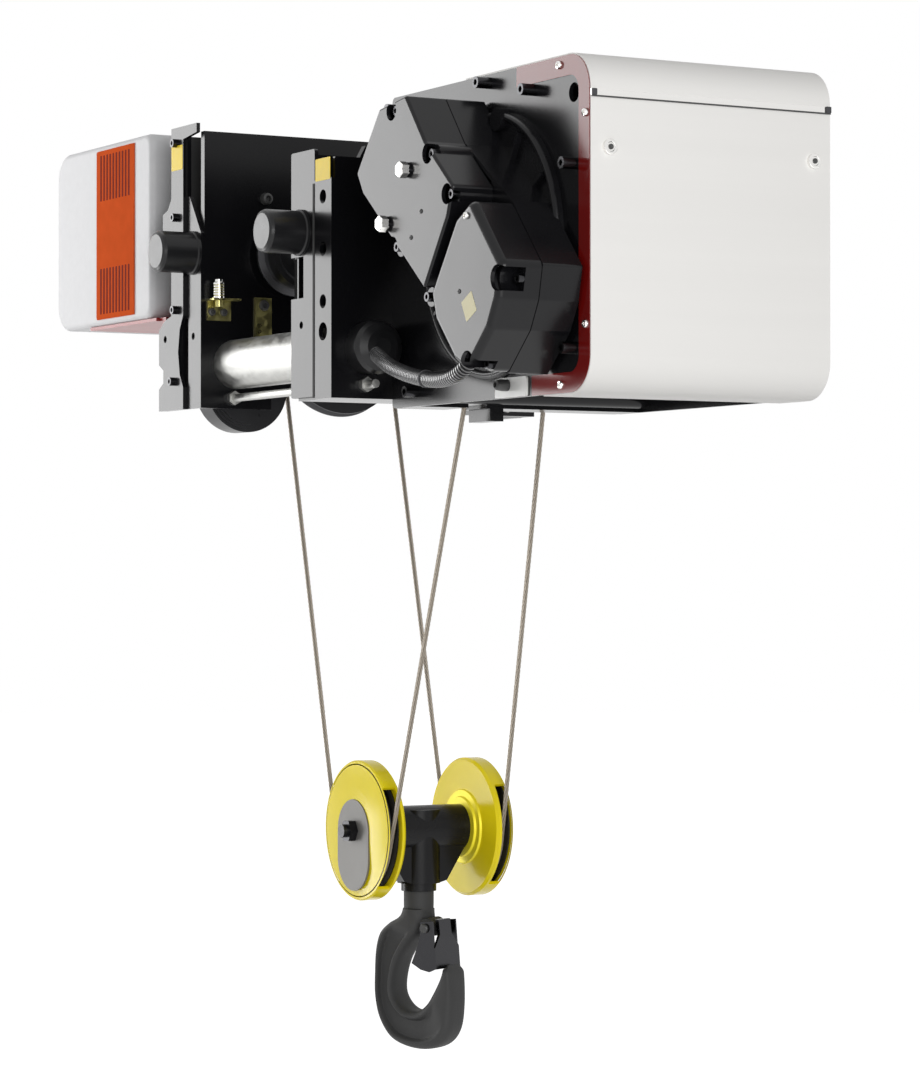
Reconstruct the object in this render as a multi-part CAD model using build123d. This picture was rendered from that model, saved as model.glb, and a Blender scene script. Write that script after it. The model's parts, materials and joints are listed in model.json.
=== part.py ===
from build123d import *
import os
from math import asin, atan2, cos, degrees, hypot, pi, radians, sin, sqrt, tan

# Low-headroom electric wire rope hoist with its trolley, in millimetres.
# Origin: middle of the girder, on the running surface of its bottom flange.
# +X across the girder towards the rope drum, +Y along the girder, +Z up.

# ---- clearances ----
body_gap = 0.3          # between curved faces of pieces that move past each other
shaft_fit = 0.05        # radial running fit of a shaft in its bore
side_play = 1.0         # axial room beside a turning piece
screw_play = 0.4        # radial room round a screw in its hole

# ---- trolley ----
girder_gap = 306.0      # clear width between the two cheeks
wheel_d = 108.0
wheel_base = 288.0
wheel_width = 40.0
wheel_flange_h = 9.0
wheel_flange_w = 8.0
wheel_gap = 12.0        # wheel side to cheek
wheel_axle_d = 25.0
cheek_t = 12.0          # cheek web thickness
cheek_half_length = 290.0
cheek_bottom = -184.0
flange_t = 6.0          # thin pressed flanges and strips
left_cheek_top = 240.0
mid_cheek_top = 172.0
mid_flange_w = 74.0
mid_window_top = 20.0
mid_window_bottom = -40.0
channel_w = 52.0
channel_top = 126.0
channel_hole_d = 20.0
channel_access_d = 26.0
channel_pitch = 75.0    # spacing of the three accessory holes
channel_hole_top = 101.0
flange_hole_d = 11.0
leg_length = 114.0      # length of each lower leg of the left cheek
leg_recess_z = -60.0
tube_d = 76.1
tube_wall = 4.0
tube_y = 236.0
tube_z = -116.0
tube_cap_d = 76.5
tube_cap_len = 46.0
rod_d = 12.0
rod_y = 242.0
rod_z = -168.0
nut_across = 19.0
nut_h = 10.0
buffer_d = 63.0
buffer_len = 63.0
buffer_x = 182.0
buffer_z = 55.0

# ---- rope and sheaves ----
rope_d = 7.0
sheave_spacing = 192.0  # between the two hook sheaves, and across the return sheave
hook_pitch_d = 176.0
groove_depth = 10.0
sheave_width = 20.0
sheave_web = 8.0
sheave_hub_d = 58.0
sheave_pin_d = 30.0
drum_pitch_d = 360.0
drum_groove_depth = 2.5
drum_wall = 9.0
drum_turn_pitch = 9.0
drum_dead_turns = 5
return_sheave_x = -275.0
return_sheave_z = -85.0
anchor_x = 212.0
anchor_z = -186.0

# ---- hoist frame and drum ----
drum_x = 572.0
drum_z = 8.0
frame_left = 279.0
frame_right = 823.0
frame_top = 247.0
frame_bottom = -203.0
frame_near = -197.0
frame_far = 184.0
end_plate_t = 6.0
corner_r = 51.0
left_corner_r = 8.0
cover_t = 2.0
cover_top_reach = 330.0
cover_bottom_reach = 120.0
seam_z = 190.0
seam_w = 8.0
seam_t = 1.2
seam_cap_len = 7.0
button_d = 19.0
button_z = 119.0
button_inset = 28.0
trim_w = 27.0
trim_t = 1.0
trim_left_reach = 190.0
trim_bottom_reach = 150.0
plate_bore_d = drum_pitch_d - 30.0
housing_d = drum_pitch_d + 6.0
housing_t = 6.0
bead_w = 7.0
bead_h = 6.0
housing_ribs = 12
rib_h = 8.0
rib_t = 5.0
boss_tube_d = 140.0
boss_bore_d = 120.0
hub_wall = 10.0
hub_len = 16.0
drum_end_gap = 35.0     # end plate to drum web
drum_web_t = 8.0
rail_w = 30.0
rail_t = 6.0
upper_rail_d = 24.0

# ---- gear train: module, teeth ----
module_fast = 2.0
pinion_teeth = 18
wheel_teeth = 58
brake_teeth = 26
module_slow = 2.5
slow_pinion_teeth = 14
drum_gear_teeth = 70
gear_width = 14.0
backlash = 0.7
shaft_d = 20.0
gear_shaft_turn = -25.0     # direction of the intermediate shaft from the drum axis
motor_turn = 155.0          # direction of the motor shaft from the intermediate shaft
brake_shaft_turn = -35.0    # direction of the brake shaft from the intermediate shaft
case_depth = 60.0
cover_depth = 63.0
case_wall = 6.0
edge_round = 5.0
boss_d = 26.0
boss_drop = 14.0
joint_groove = 1.5      # groove round a cover where it meets the case
brake_round = 14.0
scoop_d = 34.0          # scoops in the brake cover in front of its screws
scoop_drop = 38.0
scoop_wall = 5.0
screw_head_d = 13.0
screw_head_h = 8.0
tie_head_d = 16.0
tie_head_h = 22.0
housing_plug_d = 32.0
plug_d = 17.0
plug_h = 14.0
motor_d = 190.0
rotor_d = 120.0
brake_disc_d = 96.0
brake_disc_t = 8.0
guide_w = 30.0

# ---- return drive and electrical box ----
travel_motor_d = 138.0
travel_motor_len = 60.0
travel_motor_y = -190.0
travel_motor_z = -148.0
box_x0 = -701.0
box_x1 = -327.0
box_y0 = -cheek_half_length - 10.0
box_y1 = box_y0 + 440.0
box_z0 = -36.0
box_z1 = 256.0
box_corner_r = 42.0
box_edge_r = 10.0
box_wall = 3.0
band_x0 = -533.0
band_x1 = -388.0
band_t = 1.5
slot_rows = 10
slot_h = 2.6
slot_pitch = 7.2
slot_len = 118.0
slot_depth = 1.0
box_base_t = 5.0

# ---- hook block ----
block_z = -826.0
block_cover_d = 212.0
block_cover_w = 36.0
block_face_crown = 8.0
block_cover_wall = 5.0
block_slot_w = 20.0
rope_slot_w = 15.0
slot_up_deg = 40.0
slot_down_deg = 53.0
boss_r = 35.0
cross_w = 66.0
cross_drop = 83.0
cross_web_t = 44.0      # tapered web under the cross boss
cross_web_reach = 74.0
collar_h = 12.0
shank_d = 46.0
shank_bore_play = 0.3
load_plate_w = 98.0
load_plate_l = 138.0
load_plate_t = 3.0
load_plate_drop = 22.0
axle_nut_across = 30.0
axle_nut_h = 12.0
hook_turn = 25.0        # the hook has turned this far about its shank
hook_t = 54.0
hook_web = 26.0
throat_d = 70.0
throat_z = -1068.0
throat_u = 0.0
latch_t = 3.0
latch_w = 62.0
latch_tab_w = 30.0
latch_pin_d = 8.0
latch_u = 34.0
latch_z = -975.0

# ---- conduit between the brake cover and the cross tube ----
conduit_d = 22.0

# ---- worked out from the sizes above ----
half_gap = girder_gap / 2
hook_r = hook_pitch_d / 2
return_r = sheave_spacing / 2
drum_r = drum_pitch_d / 2
case_back = frame_near - housing_t
case_front = case_back - case_depth
cover_front = case_front - cover_depth
fast_centre = module_fast * (pinion_teeth + wheel_teeth) / 2
brake_centre = module_fast * (wheel_teeth + brake_teeth) / 2
slow_centre = module_slow * (slow_pinion_teeth + drum_gear_teeth) / 2
gear_shaft_x = drum_x + slow_centre * cos(radians(gear_shaft_turn))
gear_shaft_z = drum_z + slow_centre * sin(radians(gear_shaft_turn))
motor_x = gear_shaft_x + fast_centre * cos(radians(motor_turn))
motor_z = gear_shaft_z + fast_centre * sin(radians(motor_turn))
brake_shaft_x = gear_shaft_x + brake_centre * cos(radians(brake_shaft_turn))
brake_shaft_z = gear_shaft_z + brake_centre * sin(radians(brake_shaft_turn))
inner_near = frame_near + end_plate_t
inner_far = frame_far - end_plate_t
wheel_x = half_gap - wheel_gap - wheel_width / 2
near_plane = -sheave_spacing / 2
far_plane = sheave_spacing / 2


# ---- small builders ----
def block(x0, x1, y0, y1, z0, z1):
    """Rectangular block between two corners."""
    size = (x1 - x0, y1 - y0, z1 - z0)
    return Pos((x0 + x1) / 2, (y0 + y1) / 2, (z0 + z1) / 2) * Box(*size)


def bar_x(x0, x1, y, z, d):
    """Round bar along X."""
    return Pos((x0 + x1) / 2, y, z) * Rot(0, 90, 0) * Cylinder(d / 2, x1 - x0)


def bar_y(y0, y1, x, z, d):
    """Round bar along Y."""
    return Pos(x, (y0 + y1) / 2, z) * Rot(90, 0, 0) * Cylinder(d / 2, y1 - y0)


def bar_z(z0, z1, x, y, d):
    """Round bar along Z."""
    return Pos(x, y, (z0 + z1) / 2) * Cylinder(d / 2, z1 - z0)


def hex_bar(length, across):
    """Hexagonal bar along Z from the origin, by its size across flats."""
    return extrude(RegularPolygon(across / sqrt(3), 6), amount=length)


def hex_y(y0, y1, x, z, across):
    """Hexagonal bar along Y."""
    return Pos(x, y1, z) * Rot(90, 0, 0) * hex_bar(y1 - y0, across)


def hex_x(x0, x1, y, z, across):
    """Hexagonal bar along X."""
    return Pos(x0, y, z) * Rot(0, 90, 0) * hex_bar(x1 - x0, across)


def plate_y(points, y0, y1, rounds=0.0):
    """Plate across Y from an outline of (x, z) points, its corners rounded."""
    outline = make_face(Polyline(*points, close=True))
    if rounds:
        outline = fillet(outline.vertices(), rounds)
    return extrude(Plane(origin=(0, y1, 0), x_dir=(1, 0, 0), z_dir=(0, -1, 0)) * outline, amount=y1 - y0)


def plate_x(points, x0, x1, rounds=0.0):
    """Plate across X from an outline of (y, z) points, its corners rounded."""
    outline = make_face(Polyline(*points, close=True))
    if rounds:
        outline = fillet(outline.vertices(), rounds)
    return extrude(Plane(origin=(x0, 0, 0), x_dir=(0, 1, 0), z_dir=(1, 0, 0)) * outline, amount=x1 - x0)


def turned(points):
    """Turned piece about Z from (radius, height) points."""
    profile = make_face(Polyline(*[(r, 0, h) for r, h in points], close=True))
    return revolve(profile, axis=Axis.Z)


def gear(module, teeth, width, bore):
    """Spur gear about Z with straight-sided teeth, one tooth centred on +X."""
    pitch_r = module * teeth / 2
    root_r = pitch_r - 1.25 * module
    tip_r = pitch_r + 0.9 * module
    body = Cylinder(root_r, width)
    tip_half = 0.3 * module
    root_half = 1.15 * module
    pitch_half = pi * module / 4 - backlash / 2
    flank = [(root_r - 1, -root_half), (pitch_r, -pitch_half), (tip_r, -tip_half)]
    flank += [(tip_r, tip_half), (pitch_r, pitch_half), (root_r - 1, root_half)]
    tooth = extrude(make_face(Polyline(*flank, close=True)), amount=width / 2, both=True)
    teeth_all = [Rot(0, 0, 360 * k / teeth) * tooth for k in range(teeth)]
    return body + teeth_all - Cylinder(bore / 2, width)


def socket_screw(length, head_d=screw_head_d, head_h=screw_head_h):
    """Socket head screw about Z, head upwards from the origin."""
    head = Pos(0, 0, head_h / 2) * Cylinder(head_d / 2, head_h)
    socket = Pos(0, 0, head_h - screw_head_h / 2) * hex_bar(screw_head_h, head_d / 2)
    shank = Pos(0, 0, -length / 2) * Cylinder(screw_head_d / 3, length)
    return head + shank - socket


def sheave(pitch_r, bore_d):
    """Rope sheave about Z: grooved rim, thin web with six holes, hub."""
    rim_r = pitch_r + groove_depth - rope_d / 2
    groove_r = rope_d / 2 + body_gap
    half = sheave_width / 2
    floor_r = pitch_r - rope_d / 2 - body_gap - 6
    rim = turned([(floor_r - 4, -half + 3), (rim_r, -half), (rim_r, half), (floor_r - 4, half - 3)])
    mouth = half - 1.5
    seat = pitch_r - body_gap
    side = groove_r * 0.9
    cut = turned([(seat, -side), (rim_r + 1, -mouth), (rim_r + 1, mouth), (seat, side)])
    rim = rim - cut - Torus(pitch_r, groove_r)
    web = Cylinder(floor_r - 3, sheave_web)
    ports = PolarLocations((sheave_hub_d / 2 + floor_r) / 2, 6) * Cylinder(12, sheave_web)
    hub = Cylinder(sheave_hub_d / 2, sheave_width)
    return rim + web + hub - ports - Cylinder(bore_d / 2, sheave_width)


def group(*pieces):
    """Separate solids kept side by side in one node."""
    solids = []
    for piece in pieces:
        solids += piece.solids()
    return Compound(children=solids)


def mirror_y(piece):
    """The same piece at the far end of the trolley."""
    return mirror(piece, about=Plane.XZ)


# ---- hoist frame ----
def frame_outline(grow):
    """Rectangle of the hoist frame with its large right-hand corners."""
    x1 = frame_right - cover_t + grow
    z0 = frame_bottom + cover_t - grow
    z1 = frame_top - cover_t + grow
    x0 = frame_left
    outline = make_face(Polyline((x0, z0), (x1, z0), (x1, z1), (x0, z1), close=True))
    right = outline.vertices().filter_by(lambda v: v.X > drum_x)
    outline = fillet(right, corner_r - cover_t + grow)
    left = outline.vertices().sort_by(Axis.X)[0:2]
    return fillet(left, left_corner_r)


def slab_y(sketch, y0, y1):
    """Extrudes an (x, z) sketch from y0 to y1."""
    return extrude(Plane(origin=(0, y1, 0), x_dir=(1, 0, 0), z_dir=(0, -1, 0)) * sketch, amount=y1 - y0)


tie_places = [(frame_left + 22, frame_top - 22), (frame_left + 75, frame_bottom + 22),
              (frame_right - 40, drum_z + 92), (frame_right - 40, frame_bottom + 60),
              (drum_x - 15, frame_top - 14), (drum_x + 106, frame_top - 38)]
lift_hole = (frame_right - 42, frame_top - 53)


def end_plate(y0, y1):
    """Pressed end plate with the drum opening and its screw holes."""
    plate = slab_y(frame_outline(0), y0, y1)
    plate -= bar_y(y0, y1, drum_x, drum_z, plate_bore_d)
    plate -= bar_y(y0, y1, *lift_hole, channel_access_d)
    for x, z in tie_places:
        plate -= bar_y(y0, y1, x, z, rod_d + 2 * screw_play)
    return plate


def make_edge_trim(y0, y1):
    """Thin coloured edging round the right-hand corners of the end plate."""
    ring = slab_y(frame_outline(0), y0, y1)
    middle = slab_y(frame_outline(-trim_w), y0, y1)
    left_top = block(frame_left - 60, frame_right - trim_left_reach, y0, y1, drum_z, frame_top)
    left_bottom = block(frame_left - 60, frame_right - trim_bottom_reach, y0, y1, frame_bottom, drum_z)
    return ring - middle - left_top - left_bottom


def make_drum_cover():
    """Bent aluminium cover over the top, the side and part of the underside."""
    outer = slab_y(frame_outline(cover_t), frame_near, frame_far)
    inner = slab_y(frame_outline(0), frame_near, frame_far)
    shell = outer - inner
    shell -= block(frame_left - 60, frame_right - cover_top_reach, frame_near, frame_far,
                   drum_z, frame_top + 9)
    shell -= block(frame_left - 60, frame_right - cover_bottom_reach, frame_near, frame_far,
                   frame_bottom - 9, drum_z)
    shell -= block(frame_left - 60, frame_right - cover_top_reach, frame_near, frame_far,
                   frame_bottom, frame_top + 9)
    return shell


def make_seam_strip():
    """Raised seam strip along the cover's side, with a block at each end."""
    x0 = frame_right
    x1 = frame_right + seam_t
    strip = block(x0, x1, frame_near + seam_cap_len, frame_far - seam_cap_len,
                  seam_z - seam_w / 2, seam_z + seam_w / 2)
    near = block(x0, x1 + 1, frame_near, frame_near + seam_cap_len, seam_z - seam_w / 2, seam_z + seam_w / 2)
    far = block(x0, x1 + 1, frame_far - seam_cap_len, frame_far, seam_z - seam_w / 2, seam_z + seam_w / 2)
    return group(strip, near, far)


def make_frame_rails():
    """Long bars and angles that tie the two end plates together."""
    rails = []
    for x, z in tie_places:
        rails.append(bar_y(inner_near, inner_far, x, z, rail_w if x < drum_x - 100 else upper_rail_d))
    x0 = frame_left
    low = frame_bottom + cover_t
    angle = block(x0, x0 + 70, inner_near, inner_far, low, low + rail_t)
    angle -= block(x0, x0 + 70, near_plane - rope_slot_w, near_plane + rope_slot_w, low, low + rail_t)
    rails[1] = rails[1] + angle
    stop_y = near_plane + rope_slot_w + 8
    rails.append(block(x0 + 4, x0 + 66, stop_y, stop_y + 22, low - 18, low))
    return group(*rails)


def make_housing(near):
    """Drum-end housing: flange on the end plate, bead ring, ribs and the boss the drum turns on."""
    boss_len = end_plate_t + drum_end_gap + drum_web_t + 2
    flange = Pos(0, 0, housing_t / 2) * Cylinder(housing_d / 2, housing_t)
    spigot = Pos(0, 0, -end_plate_t / 2) * Cylinder(plate_bore_d / 2 - screw_play, end_plate_t)
    bead = Pos(0, 0, housing_t) * Torus(housing_d / 2 - bead_w, bead_h)
    bead -= Pos(0, 0, housing_t - bead_h) * Cylinder(housing_d, 2 * bead_h)
    boss = Pos(0, 0, -boss_len / 2) * Cylinder(boss_tube_d / 2, boss_len)
    piece = flange + spigot + bead + boss
    rib_r0 = boss_bore_d / 2 + 4
    rib_r1 = housing_d / 2 - 2 * bead_w
    rib = Pos((rib_r0 + rib_r1) / 2, 0, housing_t + rib_h / 2) * Box(rib_r1 - rib_r0, rib_t, rib_h)
    piece += [Rot(0, 0, 360 * k / housing_ribs) * rib for k in range(housing_ribs)]
    if near:
        proud = housing_t + bead_h + 2
        piece += Pos(*housing_plug, proud / 2) * Cylinder(housing_plug_d / 2, proud)
        seat = make_face(Polyline(*case_outline, close=True))
        piece -= extrude(Pos(0, 0, housing_t) * seat, amount=2 * rib_h)
        piece -= Pos(0, 0, -boss_len / 2) * Cylinder(boss_bore_d / 2, boss_len + 2 * housing_t)
        pinion_room = module_slow * (slow_pinion_teeth / 2 + 1) + side_play
        piece = Pos(drum_x, frame_near, drum_z) * Rot(90, 0, 0) * piece
        return piece - bar_y(inner_near - 60, inner_near + 1, gear_shaft_x, gear_shaft_z, 2 * pinion_room)
    piece -= Pos(0, 0, -boss_len / 2) * Cylinder(boss_bore_d / 4, boss_len + 4 * housing_t)
    return Pos(drum_x, frame_far, drum_z) * Rot(-90, 0, 0) * piece


# Outlines and places of the gear unit about the drum axis, as (x, z).
housing_plug = (27, 170)
gear_cover_outline = [(-18, 200), (-94, 190), (-160, 108), (-142, 78), (-44, -2), (34, -66),
                      (98, 26), (112, 66), (36, 132)]
brake_cover_outline = [(118, 22), (160, 44), (240, -46), (230, -92), (209, -130), (150, -184),
                       (114, -166), (62, -110), (50, -72)]
case_outline = [(-18, 200), (-94, 190), (-160, 108), (-142, 78), (-44, -2), (62, -110), (114, -166),
                (150, -184), (209, -130), (230, -92), (240, -46), (160, 44), (36, 132)]
gap_bridge = [(28, -98), (70, -122), (132, 14), (175, 48), (110, 88), (96, 40)]
gear_bosses = [(43, 115), (96, 56), (-55, -2), (30, -76), (-58, 184)]
brake_bosses = [(150, -172), (229, -65)]


def placed(points):
    """Outline about the drum axis moved to its place."""
    return [(drum_x + x, drum_z + z) for x, z in points]


def inset(points, depth):
    """Outline moved inwards by a wall thickness, for points in clockwise or anticlockwise order."""
    area = sum(a[0] * b[1] - b[0] * a[1] for a, b in zip(points, points[1:] + points[:1]))
    side = 1 if area > 0 else -1
    moved = []
    for before, here, after in zip(points[-1:] + points[:-1], points, points[1:] + points[:1]):
        ax, az = here[0] - before[0], here[1] - before[1]
        bx, bz = after[0] - here[0], after[1] - here[1]
        la, lb = hypot(ax, az), hypot(bx, bz)
        nx = -az / la - bz / lb
        nz = ax / la + bx / lb
        scale = side * depth * 2 / (nx * nx + nz * nz)
        moved.append((here[0] + nx * scale, here[1] + nz * scale))
    return moved


def hollow(outer_points, y0, y1, closed_front, corner):
    """Cast half shell: outline wall and, on the closed side, a front wall and a groove at the joint."""
    inside = placed(inset(outer_points, case_wall))
    if closed_front:
        waist = placed(inset(outer_points, joint_groove))
        outer = plate_y(placed(outer_points), y0, y1 - joint_groove, corner)
        outer += plate_y(waist, y1 - joint_groove, y1, corner - joint_groove)
        return outer - plate_y(inside, y0 + case_wall, y1)
    return plate_y(placed(outer_points), y0, y1, corner) - plate_y(inside, y0, y1 - case_wall)


def soften_front(piece, y, radius):
    """Rounds the front rim of a cast cover."""
    rim = piece.edges().filter_by_position(Axis.Y, y - 0.01, y + 0.01)
    return fillet(rim, radius)


def make_gear_case():
    """Rear half of the gear unit, with bearing bosses for the gear shafts."""
    case = hollow(case_outline, case_front, case_back, False, edge_round)
    bore = shaft_d + 2 * shaft_fit
    boss_y = case_back - case_wall - 8
    for x, z in ((gear_shaft_x, gear_shaft_z), (brake_shaft_x, brake_shaft_z)):
        case += bar_y(boss_y, case_back - case_wall, x, z, shaft_d + 16)
        case -= bar_y(boss_y, case_back - 2, x, z, bore)
    case -= bar_y(case_back - case_wall, case_back, motor_x, motor_z, shaft_d + 16)
    case -= bar_y(boss_y, case_back, gear_shaft_x, gear_shaft_z, bore)
    whole = plate_y(placed(case_outline), case_front, case_back, edge_round)
    return case + (plate_y(placed(gap_bridge), case_front, case_front + case_wall) & whole)


def make_gear_cover():
    """Front half of the gear unit, over the gears."""
    cover = hollow(gear_cover_outline, cover_front, case_front, True, edge_round)
    cover = soften_front(cover, cover_front, edge_round - 1)
    for x, z in gear_bosses:
        at = (drum_x + x, drum_z + z)
        cover += bar_y(cover_front + boss_drop, case_front, *at, boss_d)
        cover -= bar_y(cover_front - 1, cover_front + boss_drop, *at, boss_d + 2)
        cover -= bar_y(cover_front + boss_drop, case_front, *at, screw_head_d * 2 / 3 + 2 * screw_play)
    return cover


def make_brake_cover():
    """Front cover over the brake, scooped out in front of its screws."""
    cover = hollow(brake_cover_outline, cover_front, case_front, True, brake_round)
    cover = soften_front(cover, cover_front, brake_round - 4)
    shell_y = (cover_front + brake_round, case_front - joint_groove)
    whole = plate_y(placed(brake_cover_outline), *shell_y, brake_round)
    for x, z in brake_bosses:
        at = (drum_x + x, drum_z + z)
        seat_y = cover_front + scoop_drop
        cover += bar_y(cover_front, case_front, *at, scoop_d + 2 * scoop_wall) & whole
        cover -= bar_y(cover_front - 1, seat_y, *at, scoop_d)
        cover -= bar_y(seat_y, case_front, *at, screw_head_d * 2 / 3 + 2 * screw_play)
    return cover


def make_brake_coil():
    """Brake magnet, fixed inside the front of the brake cover."""
    y0 = cover_front + case_wall
    coil = bar_y(y0, y0 + coil_len, brake_shaft_x, brake_shaft_z, brake_disc_d)
    return coil - bar_y(y0, y0 + coil_len, brake_shaft_x, brake_shaft_z, shaft_d + 2 * shaft_fit)


# ---- drum and its drive ----
drum_y0 = inner_near + drum_end_gap
drum_y1 = inner_far - drum_end_gap
hub_r = boss_tube_d / 2 + shaft_fit
slow_y = drum_y0 - gear_width / 2
fast_y = case_back - case_wall - 8 - 4 - gear_width / 2
bearing_end_y = case_back - 2.5
coil_len = 28.0
disc_y = cover_front + case_wall + coil_len + 2 + brake_disc_t / 2
rope_seat_r = drum_r - rope_d / 2 - body_gap
motor_y0 = drum_y0 + 70
motor_y1 = inner_far - drum_end_gap - drum_web_t - 2


def mesh_turn(turn_a, teeth_a, teeth_b, direction):
    """Turn that brings gear B into mesh with gear A, B standing in this direction from A."""
    lead = (turn_a - direction) * teeth_a / teeth_b
    return direction + 180 - lead + 180 / teeth_b


motor_pinion_turn = motor_turn
fast_wheel_turn = mesh_turn(motor_pinion_turn, pinion_teeth, wheel_teeth, motor_turn + 180)
brake_pinion_turn = mesh_turn(fast_wheel_turn, wheel_teeth, brake_teeth, brake_shaft_turn)
drum_gear_turn = gear_shaft_turn
slow_pinion_turn = mesh_turn(drum_gear_turn, drum_gear_teeth, slow_pinion_teeth, gear_shaft_turn)


def gear_y(module, teeth, bore, turn, x, y, z):
    """Spur gear with its axis along Y, turned by an angle from +X towards +Z."""
    return Pos(x, y, z) * Rot(90, 0, 0) * Rot(0, 0, turn) * gear(module, teeth, gear_width, bore)


def make_drum_shell():
    """Grooved rope drum with its two webs and hollow hubs."""
    crest = rope_seat_r + drum_groove_depth
    points = [(rope_seat_r - drum_wall, drum_y0), (crest + 6, drum_y0), (crest + 6, drum_y0 + 6),
              (crest, drum_y0 + 6)]
    first = near_plane - drum_dead_turns * drum_turn_pitch
    count = int((drum_y1 - 12 - first) / drum_turn_pitch)
    for k in range(count):
        y = first + k * drum_turn_pitch
        edge = drum_turn_pitch / 2 - 0.5
        points += [(crest, y - edge), (rope_seat_r, y - 2), (rope_seat_r, y + 2), (crest, y + edge)]
    points += [(crest, drum_y1 - 6), (crest + 6, drum_y1 - 6), (crest + 6, drum_y1)]
    points += [(rope_seat_r - drum_wall, drum_y1)]
    shell = turned(points)
    web = Cylinder(rope_seat_r - drum_wall + 1, drum_web_t)
    web -= PolarLocations(rope_seat_r * 0.74, 8) * Cylinder(20, drum_web_t)
    hub = Cylinder(hub_r + hub_wall, hub_len + drum_web_t)
    near_hub = Pos(0, 0, drum_y0 + (drum_web_t - hub_len) / 2) * hub
    far_hub = Pos(0, 0, drum_y1 - (drum_web_t - hub_len) / 2) * hub
    shell += Pos(0, 0, drum_y0 + drum_web_t / 2) * web
    shell += Pos(0, 0, drum_y1 - drum_web_t / 2) * web
    shell += near_hub + far_hub
    shell -= Pos(0, 0, (drum_y0 + drum_y1) / 2) * Cylinder(hub_r, 2 * (drum_y1 - drum_y0))
    return Pos(drum_x, 0, drum_z) * Rot(-90, 0, 0) * shell


def make_drum_gear():
    """Output gear on the drum's near hub."""
    bore = 2 * (hub_r + hub_wall)
    return gear_y(module_slow, drum_gear_teeth, bore, drum_gear_turn, drum_x, slow_y, drum_z)


def make_rope_on_drum():
    """Turns of rope lying in the drum grooves, the last one open where the fall leaves."""
    leave = 180 - drum_lean
    arc = make_wrap(drum_r - body_gap / 2, leave - 310, leave)
    turns = [Pos(drum_x, near_plane, drum_z) * Rot(90, 0, 0) * arc]
    for k in range(1, drum_dead_turns + 1):
        y = near_plane - k * drum_turn_pitch
        turns.append(Pos(drum_x, y, drum_z) * Rot(90, 0, 0) * Torus(drum_r - body_gap / 2, rope_d / 2 - 0.15))
    return group(*turns)


def make_motor_stator():
    """Motor body inside the drum, bolted to the boss of the far housing."""
    body = bar_y(motor_y0, motor_y1, motor_x, motor_z, motor_d)
    body -= bar_y(motor_y0 + 12, motor_y1 - 12, motor_x, motor_z, rotor_d + 2)
    body -= bar_y(motor_y0, motor_y1 - 4, motor_x, motor_z, shaft_d + 2 * shaft_fit)
    return body


def make_motor_shaft():
    """Motor rotor and shaft, with the pinion at its near end."""
    shaft = bar_y(fast_y - gear_width / 2, motor_y1 - 5, motor_x, motor_z, shaft_d)
    shaft += bar_y(motor_y0 + 14, motor_y1 - 14, motor_x, motor_z, rotor_d)
    shaft += gear_y(module_fast, pinion_teeth, 4, motor_pinion_turn, motor_x, fast_y, motor_z)
    return shaft


def make_gear_shaft():
    """Intermediate shaft with the fast wheel and the slow pinion."""
    shaft = bar_y(fast_y - gear_width / 2 - 3, slow_y + gear_width / 2, gear_shaft_x, gear_shaft_z, shaft_d)
    shaft += gear_y(module_fast, wheel_teeth, 4, fast_wheel_turn, gear_shaft_x, fast_y, gear_shaft_z)
    shaft += gear_y(module_slow, slow_pinion_teeth, 4, slow_pinion_turn, gear_shaft_x, slow_y, gear_shaft_z)
    return shaft


def make_brake_disc():
    """Brake shaft with its pinion and disc."""
    y0 = cover_front + case_wall + 4
    shaft = bar_y(y0, bearing_end_y, brake_shaft_x, brake_shaft_z, shaft_d)
    shaft += gear_y(module_fast, brake_teeth, 4, brake_pinion_turn, brake_shaft_x, fast_y, brake_shaft_z)
    half = brake_disc_t / 2
    disc = bar_y(disc_y - half, disc_y + half, brake_shaft_x, brake_shaft_z, brake_disc_d)
    return shaft + disc


def make_rope_guide():
    """Guide ring half round the drum that leads the rope on and off."""
    inner = drum_r + rope_d / 2 + side_play
    y0 = near_plane - guide_w / 2
    y1 = y0 + guide_w
    ring = bar_y(y0, y1, drum_x, drum_z, 2 * (inner + 6)) - bar_y(y0, y1, drum_x, drum_z, 2 * inner)
    low = drum_z + drum_r * sin(radians(drum_lean)) + 20
    ring &= block(drum_x - 250, drum_x + 60, y0, y1, low, drum_z + 250)
    bar_at_x, bar_at_z = tie_places[0]
    reach = hypot(bar_at_x - drum_x, bar_at_z - drum_z)
    lift = degrees(atan2(bar_at_z - drum_z, bar_at_x - drum_x))
    arm = block(inner + 2, reach, y0 + 8, y1 - 8, -7, 7)
    guide = ring + Pos(drum_x, 0, drum_z) * Rot(0, -lift, 0) * arm
    guide += bar_y(y0, y1, bar_at_x, bar_at_z, rail_w + 12)
    return guide - bar_y(y0, y1, bar_at_x, bar_at_z, rail_w + 2 * body_gap)


# ---- trolley ----
def make_mid_cheek():
    """Mid side plate with its near and far flanges."""
    y1 = cheek_half_length
    x0 = half_gap
    x1 = half_gap + cheek_t
    web = plate_x([(-y1, cheek_bottom), (y1, cheek_bottom), (y1, mid_cheek_top), (190, mid_cheek_top),
                   (180, mid_cheek_top + 18), (-180, mid_cheek_top + 18), (-190, mid_cheek_top),
                   (-y1, mid_cheek_top)], x0, x1)
    flange = plate_y([(x0, cheek_bottom), (x0 + mid_flange_w, cheek_bottom),
                      (x0 + mid_flange_w, mid_cheek_top),
                      (x0, mid_cheek_top)], -y1 - flange_t, -y1, 4)
    window = block(x0 - 1, x0 + 39, -y1 - flange_t, -y1, mid_window_bottom, mid_window_top)
    flange -= window
    flange -= bar_y(-y1 - flange_t, -y1, x0 + 32, -79, flange_hole_d)
    cheek = web + flange + mirror_y(flange)
    return cheek_holes(cheek, x0, x1)


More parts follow.
